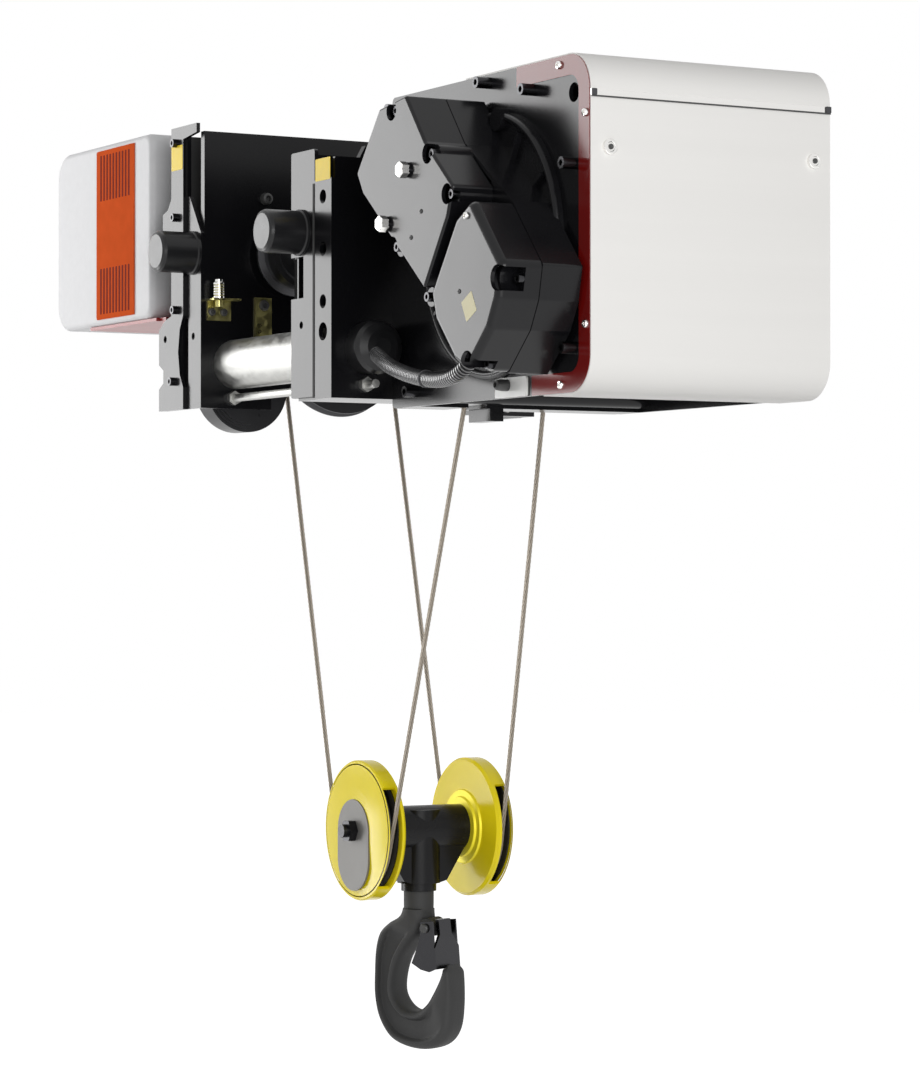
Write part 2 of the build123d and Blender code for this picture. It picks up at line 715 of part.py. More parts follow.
def cheek_holes(cheek, x0, x1):
    """Holes of a side plate for the wheel axles, cross tubes and rods."""
    for side in (-1, 1):
        cheek -= bar_x(x0, x1, side * wheel_base / 2, wheel_d / 2, wheel_axle_d)
        cheek -= bar_x(x0, x1, side * tube_y, tube_z, tube_d + 2 * body_gap)
        cheek -= bar_x(x0, x1, side * rod_y, rod_z, rod_d + 2 * screw_play)
    return cheek


def make_mid_channel():
    """Channel between the mid side plate and the hoist frame, with accessory holes."""
    y1 = cheek_half_length
    x1 = frame_left
    x0 = x1 - channel_w
    web = block(x1 - flange_t, x1, -y1, y1, cheek_bottom - 4, channel_top + 30)
    flange = plate_y([(x0, cheek_bottom - 4), (x1, cheek_bottom - 4), (x1, channel_top), (x0, channel_top)],
                     -y1 - flange_t, -y1)
    hole_x = x1 - channel_w / 2
    for k in range(3):
        d = channel_hole_d
        flange -= bar_y(-y1 - flange_t, -y1, hole_x, channel_hole_top - k * channel_pitch, d)
    flange -= bar_y(-y1 - flange_t, -y1, hole_x, -92, channel_access_d)
    floor_plate = block(half_gap + cheek_t, x1, -y1, y1, cheek_bottom - 4, cheek_bottom + 2)
    channel = web + flange + mirror_y(flange) + floor_plate
    for side in (-1, 1):
        channel -= bar_x(x1 - flange_t, x1, side * tube_y, tube_z, tube_d + 2 * body_gap)
        channel -= bar_x(x1 - flange_t, x1, side * rod_y, rod_z, rod_d + 2 * screw_play)
    channel -= block(half_gap + cheek_t, x1 - flange_t, anchor_slot[0], anchor_slot[1],
                     cheek_bottom - 4, cheek_bottom + 2)
    channel -= block(x1 - channel_w, x1, near_plane - rope_slot_w, near_plane + rope_slot_w,
                     cheek_bottom - 4, cheek_bottom + 36)
    return channel


anchor_slot = (sheave_spacing / 2 - 16, sheave_spacing / 2 + 16)


def make_left_cheek():
    """Left side plate: web with two lower legs, flanges and gussets."""
    y1 = cheek_half_length
    leg = y1 - leg_length
    x0 = -half_gap - cheek_t
    x1 = -half_gap
    web = plate_x([(-y1, cheek_bottom), (-leg, cheek_bottom), (-leg, leg_recess_z), (leg, leg_recess_z),
                   (leg, cheek_bottom), (y1, cheek_bottom), (y1, left_cheek_top),
                   (-y1, left_cheek_top)], x0, x1)
    flange = plate_y([(x1, cheek_bottom), (x1, 84), (-193, 143), (-200, 143), (-200, 236), (-240, 236),
                      (-240, -45), (-286, -50), (-286, cheek_bottom)], -y1 - flange_t, -y1)
    flange -= block(-216, -197, -y1 - flange_t, -y1, -150, -45)
    flange -= bar_y(-y1 - flange_t, -y1, -180, -73, flange_hole_d)
    flange -= bar_y(-y1 - flange_t, -y1, -269, -73, flange_hole_d)
    for x, z in strip_screws:
        flange -= bar_y(-y1 - flange_t, -y1, x, z, screw_head_d * 2 / 3 + 2 * screw_play)
    cheek = web + flange + mirror_y(flange)
    return cheek_holes(cheek, x0, x1)


strip_screws = [(-229, 228), (-229, 113), (-229, -30), (-238, -140)]
strip_outline = [(-247, 252), (-156, 252), (-156, 238), (-204, 232), (-204, -40), (-216, -60), (-222, -95),
                 (-216, -130), (-204, -150), (-204, -184), (-292, -184), (-292, -150), (-276, -141),
                 (-276, -121),
                 (-292, -112), (-292, -58), (-272, -45), (-247, -38), (-247, 90), (-278, 95), (-278, 121),
                 (-260, 127), (-247, 143)]


def make_cheek_strips():
    """Stepped strips bolted to the flanges of the left side plate."""
    y1 = cheek_half_length + flange_t
    strip = plate_y(strip_outline, -y1 - flange_t, -y1)
    strip -= bar_y(-y1 - flange_t, -y1, -269, -73, flange_hole_d)
    strip -= bar_y(-y1 - flange_t, -y1, -buffer_x, buffer_z, buffer_d + 4 + 2 * body_gap)
    for x, z in strip_screws:
        strip -= bar_y(-y1 - flange_t, -y1, x, z, screw_head_d * 2 / 3 + 2 * screw_play)
    return group(strip, mirror_y(strip))


def make_buffers():
    """Four rubber buffers, one at each end of each side plate."""
    r = buffer_d / 2
    profile = [(0, 0), (r + 2, 0), (r + 2, 4), (r, 6), (r, buffer_len - 6), (r - 2, buffer_len - 2),
               (r - 6, buffer_len), (0, buffer_len)]
    rubber = turned(profile)
    pieces = []
    for x in (-buffer_x, buffer_x):
        near = Pos(x, -cheek_half_length - flange_t, buffer_z) * Rot(90, 0, 0) * rubber
        pieces += [near, mirror_y(near)]
    return group(*pieces)


def make_cross_tubes():
    """Galvanised tubes that tie the side plates together."""
    x0 = -half_gap - cheek_t - 6
    x1 = frame_left
    near = bar_x(x0, x1, -tube_y, tube_z, tube_d) - bar_x(x0, x1, -tube_y, tube_z, tube_d - 2 * tube_wall)
    return group(near, mirror_y(near))


def make_tube_caps():
    """Domed rubber caps on the hoist-side ends of the cross tubes."""
    r = tube_cap_d / 2
    profile = [(0, 0), (r, 0), (r, 30), (r - 4, 38),
               (r - 14, 44), (r - 26, tube_cap_len), (0, tube_cap_len)]
    cap = turned(profile)
    near = Pos(frame_left, -tube_y, tube_z) * Rot(0, 90, 0) * cap
    return group(near, mirror_y(near))


def make_tie_rods():
    """Threaded rods below the tubes, with the nuts that set the width."""
    x0 = -half_gap - cheek_t - 26
    x1 = frame_left + 34
    rod = bar_x(x0, x1, -rod_y, rod_z, rod_d)
    seats = [-half_gap - cheek_t - nut_h, -half_gap, half_gap - nut_h, frame_left]
    nut_bore = bar_x(x0, x1, -rod_y, rod_z, rod_d + 2 * shaft_fit)
    pieces = [rod, mirror_y(rod)]
    for x in seats:
        nut = hex_x(x, x + nut_h, -rod_y, rod_z, nut_across) - nut_bore
        pieces += [nut, mirror_y(nut)]
    return group(*pieces)


def make_wheel(x_side, y):
    """Trolley wheel: crowned tread, guiding flange towards the side plate, hub."""
    r = wheel_d / 2
    half = wheel_width / 2
    bore = wheel_axle_d / 2 + shaft_fit
    profile = [(bore, -half - 4), (20, -half - 4), (22, -half + 3), (r - 14, -half + 3), (r - 10, -half),
               (r - 1.5, -half), (r, 0), (r - 0.5, half - wheel_flange_w),
               (r + wheel_flange_h, half - wheel_flange_w + 3),
               (r + wheel_flange_h, half), (r - 14, half), (r - 16, half - 5), (24, half - 5),
               (22, half + 6), (bore, half + 6)]
    wheel = turned(profile)
    turn = 90 if x_side > 0 else -90
    return Pos(x_side * wheel_x, y, wheel_d / 2) * Rot(0, turn, 0) * wheel


def make_axle_pins():
    """Wheel axles and the return sheave pin with its bracket."""
    pins = []
    inner = wheel_x - wheel_width / 2 - 5
    for x_side in (-1, 1):
        for y_side in (-1, 1):
            y = y_side * wheel_base / 2
            z = wheel_d / 2
            ends = sorted((x_side * inner, x_side * (half_gap + cheek_t + 8)))
            pin = bar_x(ends[0], ends[1], y, z, wheel_axle_d)
            head = sorted((x_side * inner, x_side * (inner - 6)))
            pin += bar_x(head[0], head[1], y, z, wheel_axle_d + 12)
            cap = sorted((x_side * (half_gap + cheek_t), x_side * (half_gap + cheek_t + 8)))
            pin += hex_x(cap[0], cap[1], y, z, wheel_axle_d + 11)
            pins.append(pin)
    return group(*pins)


# ---- return sheave, leaning with the rope ----
def tangent_lean(x_top, z_top, r_top, r_bottom):
    """Lean from vertical of a rope from a circle above to the hook sheave, crossing between them."""
    reach = hypot(x_top, z_top - block_z)
    centre = degrees(atan2(abs(x_top), z_top - block_z))
    return centre - degrees(asin((r_top + r_bottom) / reach))


drum_lean = tangent_lean(drum_x, drum_z, drum_r, hook_r)
anchor_lean = tangent_lean(anchor_x, anchor_z, 0, hook_r)
return_lean = tangent_lean(return_sheave_x, return_sheave_z, 0, hook_r)
return_frame = Pos(return_sheave_x, 0, return_sheave_z) * Rot(0, -return_lean, 0)


def make_return_sheave():
    """Return sheave between the near and the far rope falls."""
    return return_frame * Rot(0, 90, 0) * sheave(return_r, sheave_pin_d + 2 * shaft_fit)


def make_return_bracket():
    """Fork and pin that carry the return sheave on the left side plate."""
    half = sheave_width / 2 + side_play
    plates = []
    for side in (-1, 1):
        x0 = side * half if side > 0 else -half - 8
        plate = block(x0, x0 + 8, -30, 30, -34, return_r + 24)
        plates.append(plate)
    bridge = block(-half - 8, half + 8, -30, 30, return_r + 14, return_r + 24)
    pin = bar_x(-half - 14, half + 14, 0, 0, sheave_pin_d)
    fork = plates[0] + plates[1] + bridge + pin
    fork = return_frame * fork
    foot = block(return_sheave_x - 20, -half_gap - cheek_t, -30, 30, foot_z, foot_z + 10)
    foot -= return_frame * block(-half, half, -31, 31, -200, return_r + 14)
    return fork + foot


foot_z = 24.0


def make_wrap(radius, start, end):
    """Rope lying in a sheave groove, in the XZ plane, over an arc in degrees."""
    path = CenterArc((0, 0, 0), radius, start, end - start)
    section = Plane(origin=path @ 0, z_dir=path % 0) * Circle(rope_d / 2 - 0.15)
    return sweep(section, path=path)


def make_return_wrap():
    """Rope over the top of the return sheave."""
    arc = make_wrap(return_r, 0, 180)
    upright = Plane(origin=(0, 0, 0), x_dir=(0, 1, 0), z_dir=(1, 0, 0))
    return return_frame * (upright * arc)


def make_block_wraps():
    """Rope round the underside of each hook sheave, between its two falls."""
    wraps = []
    for y, right, left in ((near_plane, drum_lean, return_lean), (far_plane, anchor_lean, return_lean)):
        arc = make_wrap(hook_r, 180 + left, 360 - right)
        wraps.append(Pos(0, y, block_z) * Rot(90, 0, 0) * arc)
    return group(*wraps)


def rope_fall(p0, p1):
    """Straight rope between two points."""
    line = Line(p0, p1)
    return sweep(Plane(origin=p0, z_dir=line % 0) * Circle(rope_d / 2), path=line)


def hook_tangent(side, y, lean):
    """Point where a fall leaves the hook sheave."""
    return (side * hook_r * cos(radians(lean)), y, block_z - hook_r * sin(radians(lean)))


def make_fall_drum():
    """Fall from the drum to the near hook sheave."""
    top = (drum_x - drum_r * cos(radians(drum_lean)), near_plane, drum_z + drum_r * sin(radians(drum_lean)))
    return rope_fall(top, hook_tangent(1, near_plane, drum_lean))


def make_fall_return(y):
    """Fall from the return sheave to a hook sheave."""
    return rope_fall((return_sheave_x, y, return_sheave_z), hook_tangent(-1, y, return_lean))


def make_fall_anchor():
    """Fall from the rope anchor to the far hook sheave."""
    return rope_fall((anchor_x, far_plane, anchor_z), hook_tangent(1, far_plane, anchor_lean))


def make_rope_anchor():
    """Wedge socket and cross pin that hold the dead end of the rope."""
    socket = Pos(anchor_x, far_plane, anchor_z) * Rot(0, anchor_lean, 0) * Pos(0, 0, 22) * Cylinder(11, 44)
    pin = bar_x(half_gap + cheek_t, frame_left - flange_t, far_plane, anchor_z + 36, 14)
    return socket + pin


# ---- travel drive, sensor and box ----
def make_travel_gearbox():
    """Gearbox of the travel drive on the outside of the left side plate."""
    x1 = -half_gap - cheek_t
    x0 = x1 - 34
    wheel_y = -wheel_base / 2
    wheel_z = wheel_d / 2
    r = 42
    outline = [(wheel_y - r, wheel_z), (wheel_y, wheel_z + r), (wheel_y + 36, wheel_z + 10),
               (wheel_y + 36, wheel_z - 26), (travel_motor_y + 66, travel_motor_z + 40),
               (travel_motor_y + 50, travel_motor_z - 10), (travel_motor_y - 50, travel_motor_z - 10),
               (travel_motor_y - 60, travel_motor_z + 40)]
    body = plate_x(outline, x0, x1, 10)
    body -= bar_x(x1 - 9, x1, wheel_y, wheel_z, wheel_axle_d + 20)
    body -= bar_x(x1 - 8, x1, -tube_y, tube_z, tube_d + 10)
    body -= bar_x(x1 - 28, x1, -rod_y, rod_z, nut_across + 10)
    return body


def make_travel_motor():
    """Ribbed motor of the travel drive, hanging below the left side plate."""
    r = travel_motor_d / 2
    x1 = -half_gap - cheek_t - 34
    profile = [(0, 0), (r - 12, 0)]
    for k in range(3):
        ring = r - 12 + 4 * k
        profile += [(ring, 3 + 3 * k), (ring + 4, 3 + 3 * k)]
    profile += [(r, 14), (r, travel_motor_len - 8), (r - 8, travel_motor_len), (0, travel_motor_len)]
    motor = turned(profile)
    motor = Pos(x1, travel_motor_y, travel_motor_z) * Rot(0, -90, 0) * motor
    return motor


def make_sensor_bracket():
    """Angle bracket of the limit sensor, and the flat strap beside it."""
    x0 = -half_gap
    leg = block(x0, x0 + 2.5, -286, -246, -50, -20)
    shelf = block(x0, x0 + 26, -286, -240, -20, -17)
    bracket = leg + shelf
    bracket -= bar_z(-20, -17, x0 + 14, -272, 12 + 2 * shaft_fit)
    strap = block(x0, x0 + 4, -205, -177, -72, -12)
    return group(bracket, strap)


def make_limit_sensor():
    """Cylindrical travel limit sensor standing in its bracket."""
    x = -half_gap + 14
    sensor = bar_z(-17, 6, x, -272, 17) + bar_z(6, 12, x, -272, 11) + bar_z(-30, -17, x, -272, 12)
    return sensor


def box_outline(grow):
    """Front outline of the electrical box, with its large left-hand corners."""
    outline = make_face(Polyline((box_x0 - grow, box_z0 - grow), (box_x1 + grow, box_z0 - grow),
                                 (box_x1 + grow, box_z1 + grow), (box_x0 - grow, box_z1 + grow), close=True))
    left = outline.vertices().sort_by(Axis.X)[0:2]
    outline = fillet(left, box_corner_r + grow)
    right = outline.vertices().sort_by(Axis.X)[-2:]
    return fillet(right, box_corner_r / 2 + grow)


def make_box_shell():
    """Hollow cover of the electrical box, rounded at its near rim."""
    shell = slab_y(box_outline(0), box_y0, box_y1)
    rim = shell.edges().filter_by_position(Axis.Y, box_y0 - 0.01, box_y0 + 0.01)
    shell = fillet(rim, box_edge_r)
    return shell - slab_y(box_outline(-box_wall), box_y0 + box_wall, box_y1 - box_wall)


def make_box_band():
    """Slotted ventilation band laid over the near face of the electrical box."""
    y0 = box_y0 - band_t
    band = block(band_x0, band_x1, y0, box_y0, box_z0 + box_edge_r, box_z1 - box_edge_r)
    mid_x = (band_x0 + band_x1) / 2
    for bank in (box_z1 - 26, box_z0 + 26 + slot_rows * slot_pitch):
        for k in range(slot_rows):
            z = bank - k * slot_pitch
            band -= block(mid_x - slot_len / 2, mid_x + slot_len / 2, y0, y0 + slot_depth, z - slot_h, z)
    return band


def make_box_base():
    """Base plate below the electrical box, with two arms to the left side plate."""
    z1 = box_z0
    z0 = z1 - box_base_t
    plate = block(box_x0 + 130, box_x1 + 12, box_y0 + 4, box_y1, z0, z1)
    y1 = cheek_half_length
    near = block(box_x1 + 12, -292, box_y0 + 10, box_y0 + 40, z0, z1)
    near_drop = block(-304, -292, -cheek_half_length, box_y0 + 40, z0 - 40, z1)
    near_arm = block(-304, -286, -cheek_half_length, box_y0 + 40, z0 - 40, z0 - 20)
    far = block(box_x1 + 12, -half_gap - cheek_t, box_y1 - 22, box_y1, z0, z1)
    return plate + near + near_drop + near_arm + far


# ---- hook block ----
def make_crosshead():
    """Crosshead of the hook block: cross boss, body, shank collar."""
    reach = near_plane + block_cover_w / 2
    boss = bar_y(reach, -reach, 0, block_z, 2 * boss_r)
    body = bar_z(block_z - cross_drop, block_z + boss_r - 6, 0, 0, cross_w)
    collar = bar_z(block_z - cross_drop - collar_h, block_z - cross_drop, 0, 0, cross_w - 12)
    side = cross_w / 2
    web = plate_x([(-cross_web_reach, block_z + 10), (cross_web_reach, block_z + 10),
                   (cross_web_reach, block_z - 20), (side + 4, block_z - cross_drop + 4),
                   (side - 10, block_z - cross_drop), (10 - side, block_z - cross_drop),
                   (-side - 4, block_z - cross_drop + 4), (-cross_web_reach, block_z - 20)],
                  -cross_web_t / 2, cross_web_t / 2)
    cross = boss + body + collar + web
    cross -= bar_y(reach, -reach, 0, block_z, sheave_pin_d + 2 * body_gap)
    bore = shank_d - 16
    cross -= bar_z(block_z - cross_drop - collar_h, block_z - 30, 0, 0, bore + 2 * shank_bore_play)
    cross -= bar_z(block_z - nut_room_z, block_z - 19, 0, 0, nut_room_d)
    return cross


nut_room_z = 56.0
nut_room_d = 56.0


def make_block_axle():
    """Axle through the crosshead and both hook sheaves, with its nuts."""
    end = -near_plane + block_cover_w / 2
    axle = bar_y(-end - axle_nut_h - 8, end + axle_nut_h + 8, 0, block_z, sheave_pin_d - 10)
    axle += bar_y(-end + load_plate_t + 2, end - load_plate_t - 2, 0, block_z, sheave_pin_d)
    near = hex_y(-end - axle_nut_h, -end, 0, block_z, axle_nut_across)
    far = hex_y(end, end + axle_nut_h, 0, block_z, axle_nut_across)
    return axle + near + far


def make_sheave_cover(y):
    """Round cover of one hook sheave, crowned outside, open where the rope falls enter."""
    r = block_cover_d / 2
    half = block_cover_w / 2
    crown = [(r * share, half - block_face_crown * share ** 2) for share in (0.98, 0.9, 0.8, 0.7, 0.6, 0.4)]
    outer = turned([(0, -half), (r - 4, -half), (r, -half + 4), (r, half - block_face_crown - 2)]
                   + crown + [(0, half)])
    room_r = r - block_cover_wall
    room = Cylinder(room_r, sheave_width + 2 * side_play)
    cover = outer - room - Cylinder(sheave_pin_d / 2 + body_gap, block_cover_w - 8)
    cover -= Cylinder(sheave_pin_d / 2 - 5 + body_gap, block_cover_w)
    cover -= Pos(0, 0, -half) * Cylinder(sheave_pin_d / 2 + body_gap, 10)
    for side in (-1, 1):
        cover -= slot_wedge(side, r)
    if y > 0:
        return Pos(0, y, block_z) * Rot(0, 0, 180) * Rot(90, 0, 0) * cover
    return Pos(0, y, block_z) * Rot(90, 0, 0) * cover - load_plate_shape(2 * screw_play)


def slot_wedge(side, r):
    """Wedge-shaped cutter for the rope slot of a sheave cover."""
    up = radians(slot_up_deg)
    down = radians(slot_down_deg)
    reach = 1.3 * r
    points = [(0, 0), (side * reach * cos(down), -reach * sin(down)), (side * reach * 1.3, 0),
              (side * reach * cos(up), reach * sin(up))]
    wedge = extrude(make_face(Polyline(*points, close=True)), amount=block_slot_w / 2, both=True)
    core = Cylinder(hook_r - 24, block_cover_w)
    return wedge - core


def make_hook_sheave(y):
    """Hook sheave in one of the two rope planes."""
    return Pos(0, y, block_z) * Rot(90, 0, 0) * sheave(hook_r, sheave_pin_d + 2 * shaft_fit)


def load_plate_shape(extra):
    """Round-ended plate in the face of the near sheave cover, wider and longer by extra."""
    y0 = near_plane - block_cover_w / 2
    face = SlotOverall(load_plate_l + extra, load_plate_w + extra, rotation=90)
    return Pos(0, 0, block_z - load_plate_drop) * slab_y(face, y0, y0 + load_plate_t)


def make_load_plate():
    """Load plate with the hole for the axle end."""
    y0 = near_plane - block_cover_w / 2
    return load_plate_shape(0) - bar_y(y0, y0 + load_plate_t, 0, block_z, sheave_pin_d - 10 + 2 * screw_play)



# ---- hook ----
def make_hook():
    """Forged shank hook with recessed sides, turned about its shank."""
    shank_top = block_z - nut_room_z + 8
    collar_z = block_z - cross_drop - collar_h - 0.5
    outer = Spline((-21, -950), (-29, -962), (-48, -972), (-63, -988), (-69, -1012), (-70, -1050),
                   (-69, -1090), (-60, -1124), (-40, -1148), (-12, -1159), (22, -1161), (52, -1152),
                   (70, -1130), (75, -1098), (74, -1060), (70, -1030))
    inner = Spline((60, -1030), (50, -1056), (33, -1080), (2, -1084), (-26, -1062), (-26, -1030),
                   (-8, -1004), (12, -984), (21, -964), (21, -950))
    outline = make_face([outer, Line(outer @ 1, inner @ 0), inner, Line(inner @ 1, outer @ 0)])
    body = slab_y(outline, -hook_t / 2, hook_t / 2)
    body -= bar_y(-hook_t, hook_t, throat_u, throat_z, throat_d)
    for side in (-1, 1):
        face_y = side * hook_t / 2
        rim = body.edges().filter_by_position(Axis.Y, face_y - 0.01, face_y + 0.01)
        body = chamfer(rim, 6)
    recess = [(-58, -998), (-44, -988), (-30, -1002), (-40, -1036), (-44, -1070), (-36, -1104),
              (-40, -1122), (-52, -1108), (-59, -1080)]
    for side in (-1, 1):
        y0, y1 = sorted((side * hook_web / 2, side * hook_t))
        body -= plate_y(recess, y0, y1, 4)
    stem = bar_z(-980, collar_z, 0, 0, shank_d)
    thread = bar_z(collar_z, shank_top, 0, 0, shank_d - 16)
    ear = bar_y(-hook_t / 2 + 10, hook_t / 2 - 10, latch_u - 9, latch_z, 30)
    hook = body + stem + thread + ear
    hook -= bar_y(-hook_t, hook_t, latch_u, latch_z, latch_pin_d)
    return Rot(0, 0, hook_turn) * hook


def make_hook_nut():
    """Round hook nut on its thrust bearing inside the crosshead."""
    top = block_z - nut_room_z + 30
    low = block_z - nut_room_z + body_gap
    nut = bar_z(low, top, 0, 0, nut_room_d - 6)
    return nut - bar_z(low, block_z - nut_room_z + 8, 0, 0, shank_d - 16)


def make_latch():
    """Pressed safety latch: outer plate and two cheeks on the latch pin."""
    half = latch_w / 2
    outer = plate_y([(latch_u + 8, -962), (latch_u + 14, -962), (latch_u + 18, -990), (latch_u + 22, -1036),
                     (latch_u + 18, -1036), (latch_u + 14, -992)], -half, half)
    tab = latch_tab_w / 2
    outer &= plate_x([(-tab, -960), (tab, -960), (tab, -984), (half, -1004), (half, -1040),
                      (-half, -1040), (-half, -1004), (-tab, -984)], 0, 2 * latch_w)
    outline = [(latch_u - 9, -966), (latch_u + 14, -964), (latch_u + 20, -1036), (latch_u + 8, -1041),
               (latch_u - 8, -1038), (latch_u - 25, -1029), (latch_u - 16, -1008), (latch_u - 9, -986)]
    latch = outer
    for side in (-1, 1):
        y0, y1 = sorted((side * half, side * (half - latch_t)))
        latch += plate_y(outline, y0, y1)
    latch -= bar_y(-half, half, latch_u, latch_z, latch_pin_d + 2 * shaft_fit)
    return Rot(0, 0, hook_turn) * latch


def make_latch_pin():
    """Latch pin with its two heads."""
    half = latch_w / 2
    pin = bar_y(-half - 1, half + 1, latch_u, latch_z, latch_pin_d)
    pin += bar_y(-half - 5, -half - 0.5, latch_u, latch_z, latch_pin_d + 6)
    pin += bar_y(half + 0.5, half + 5, latch_u, latch_z, latch_pin_d + 6)
    return Rot(0, 0, hook_turn) * pin


# ---- conduit and screws ----
def make_conduit():
    """Corrugated conduit from the brake cover to the cap of the near cross tube."""
    points = [(694, -296, -144), (668, -297, -170), (590, -289, -180), (480, -273, -168), (390, -259, -150),
              (340, -250, -134), (300, -243, -118)]
    radii = []
    for k in range(1, len(points) - 1):
        before = Vector(*points[k]) - Vector(*points[k - 1])
        after = Vector(*points[k + 1]) - Vector(*points[k])
        turn = before.get_angle(after)
        radii.append(0.45 * min(before.length, after.length) / tan(radians(turn / 2)))
    path = FilletPolyline(*points, radius=radii)
    return sweep(Plane(origin=points[0], z_dir=path % 0) * Circle(conduit_d / 2), path=path)


def make_screws():
    """Socket screws, cover buttons and oil plugs."""
    pieces = []
    screw = socket_screw(20)
    seats = [(boss, boss_drop) for boss in gear_bosses] + [(boss, scoop_drop) for boss in brake_bosses]
    for (x, z), drop in seats:
        pieces.append(Pos(drum_x + x, cover_front + drop, drum_z + z) * Rot(90, 0, 0) * screw)
    strip_face = -cheek_half_length - 2 * flange_t
    for x, z in strip_screws:
        near = Pos(x, strip_face, z) * Rot(90, 0, 0) * socket_screw(12)
        pieces += [near, mirror_y(near)]
    for x, z in tie_places:
        tie_screw = socket_screw(end_plate_t, tie_head_d, tie_head_h)
        near = Pos(x, frame_near, z) * Rot(90, 0, 0) * tie_screw
        far = Pos(x, frame_far, z) * Rot(-90, 0, 0) * tie_screw
        pieces += [near, far]
    for y in (frame_near + button_inset, frame_far - button_inset):
        button = Pos(frame_right + 2, y, button_z) * Rot(0, 90, 0) * Cylinder(button_d / 2, 4)
        pieces.append(button)
    for x, z in ((-11, 98), (-69, 30)):
        face = cover_front
        plug = hex_y(face - plug_h, face - 4, drum_x + x, drum_z + z, plug_d)
        plug += bar_y(face - 4, face, drum_x + x, drum_z + z, plug_d + 4)
        pieces.append(plug)
    return group(*pieces)


# ---- every piece, in its own file ----
parts = {
    "end_plate_near": end_plate(frame_near, inner_near),
    "end_plate_far": end_plate(inner_far, frame_far),
    "edge_trim": group(make_edge_trim(frame_near - trim_t, frame_near),
                       make_edge_trim(frame_far, frame_far + trim_t)),
    "frame_rails": make_frame_rails(),
    "drum_cover": make_drum_cover(),
    "cover_seam_strip": make_seam_strip(),
    "drum_housing_near": make_housing(True),
    "drum_housing_far": make_housing(False),
    "gear_case": make_gear_case(),
    "gear_cover": make_gear_cover(),
    "brake_cover": make_brake_cover(),
    "brake_coil": make_brake_coil(),
    "motor_stator": make_motor_stator(),
    "screws_and_plugs": make_screws(),
    "rope_anchor": make_rope_anchor(),
    "mid_cheek": make_mid_cheek(),
    "mid_channel": make_mid_channel(),
    "left_cheek": make_left_cheek(),
    "cheek_strips": make_cheek_strips(),
    "buffers": make_buffers(),
    "cross_tubes": make_cross_tubes(),
    "tube_caps": make_tube_caps(),
    "tie_rods": make_tie_rods(),
    "wheel_axles": make_axle_pins(),
    "return_bracket": make_return_bracket(),
    "travel_gearbox": make_travel_gearbox(),
    "travel_motor": make_travel_motor(),
    "limit_sensor": group(make_limit_sensor(), make_sensor_bracket()),
    "box_shell": make_box_shell(),
    "box_band": make_box_band(),
    "box_base": make_box_base(),
    "conduit": make_conduit(),
    "rope_return_wrap": make_return_wrap(),
    "rope_fall_drum": make_fall_drum(),
    "rope_fall_near": make_fall_return(near_plane),
    "rope_fall_far": make_fall_return(far_plane),
    "rope_fall_anchor": make_fall_anchor(),
    "drum_shell": make_drum_shell(),
    "drum_gear": make_drum_gear(),
    "rope_on_drum": make_rope_on_drum(),
    "gear_shaft": make_gear_shaft(),
    "motor_shaft": make_motor_shaft(),
    "brake_disc": make_brake_disc(),
    "rope_guide": make_rope_guide(),
    "return_sheave": make_return_sheave(),
    "wheel_mid_near": make_wheel(1, -wheel_base / 2),
    "wheel_mid_far": make_wheel(1, wheel_base / 2),
    "wheel_left_near": make_wheel(-1, -wheel_base / 2),
    "wheel_left_far": make_wheel(-1, wheel_base / 2),
    "crosshead": make_crosshead(),
    "block_axle": make_block_axle(),
    "sheave_cover_near": make_sheave_cover(near_plane),
    "sheave_cover_far": make_sheave_cover(far_plane),
    "load_plate": make_load_plate(),
    "rope_block_wraps": make_block_wraps(),
    "hook_sheave_near": make_hook_sheave(near_plane),
    "hook_sheave_far": make_hook_sheave(far_plane),
    "hook": group(make_hook(), make_latch_pin()),
    "hook_nut": make_hook_nut(),
    "latch": make_latch(),
}

os.makedirs("parts", exist_ok=True)
for name, piece in parts.items():
    export_step(piece, f"parts/{name}.step")
print(len(parts), "nodes; leans", round(drum_lean, 2), round(anchor_lean, 2), round(return_lean, 2))
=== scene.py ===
"""Looks of a wire rope hoist: finishes for every CAD piece, laid ropes, a ribbed conduit, a forged hook,
small fittings, and the studio around them. Lengths are metres in the hoist's own frame."""

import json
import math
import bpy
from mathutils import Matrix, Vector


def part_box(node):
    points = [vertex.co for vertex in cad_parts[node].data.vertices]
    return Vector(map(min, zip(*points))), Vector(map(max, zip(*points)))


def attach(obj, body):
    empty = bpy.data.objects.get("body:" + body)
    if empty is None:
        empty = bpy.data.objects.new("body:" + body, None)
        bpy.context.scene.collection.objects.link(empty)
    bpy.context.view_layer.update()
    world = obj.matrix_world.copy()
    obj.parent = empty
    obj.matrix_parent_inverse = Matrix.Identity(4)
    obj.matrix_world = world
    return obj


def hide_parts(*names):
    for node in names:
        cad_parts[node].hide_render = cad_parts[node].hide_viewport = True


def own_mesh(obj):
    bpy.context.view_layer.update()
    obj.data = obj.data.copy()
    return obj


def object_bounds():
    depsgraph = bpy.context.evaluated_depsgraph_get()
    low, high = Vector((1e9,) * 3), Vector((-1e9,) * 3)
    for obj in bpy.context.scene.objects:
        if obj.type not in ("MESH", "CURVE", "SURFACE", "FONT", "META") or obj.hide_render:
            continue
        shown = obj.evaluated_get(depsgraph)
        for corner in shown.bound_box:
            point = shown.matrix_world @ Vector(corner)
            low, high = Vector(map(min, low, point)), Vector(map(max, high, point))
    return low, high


bl_info = {
    "name": "Wire Rope Hoist",
    "version": (1, 0, 0),
    "blender": (4, 5, 0),
    "location": "3D View > Sidebar > Hoist",
    "description": "Dresses a packed wire rope hoist with its finishes, ropes and fittings",
    "category": "Object",
}

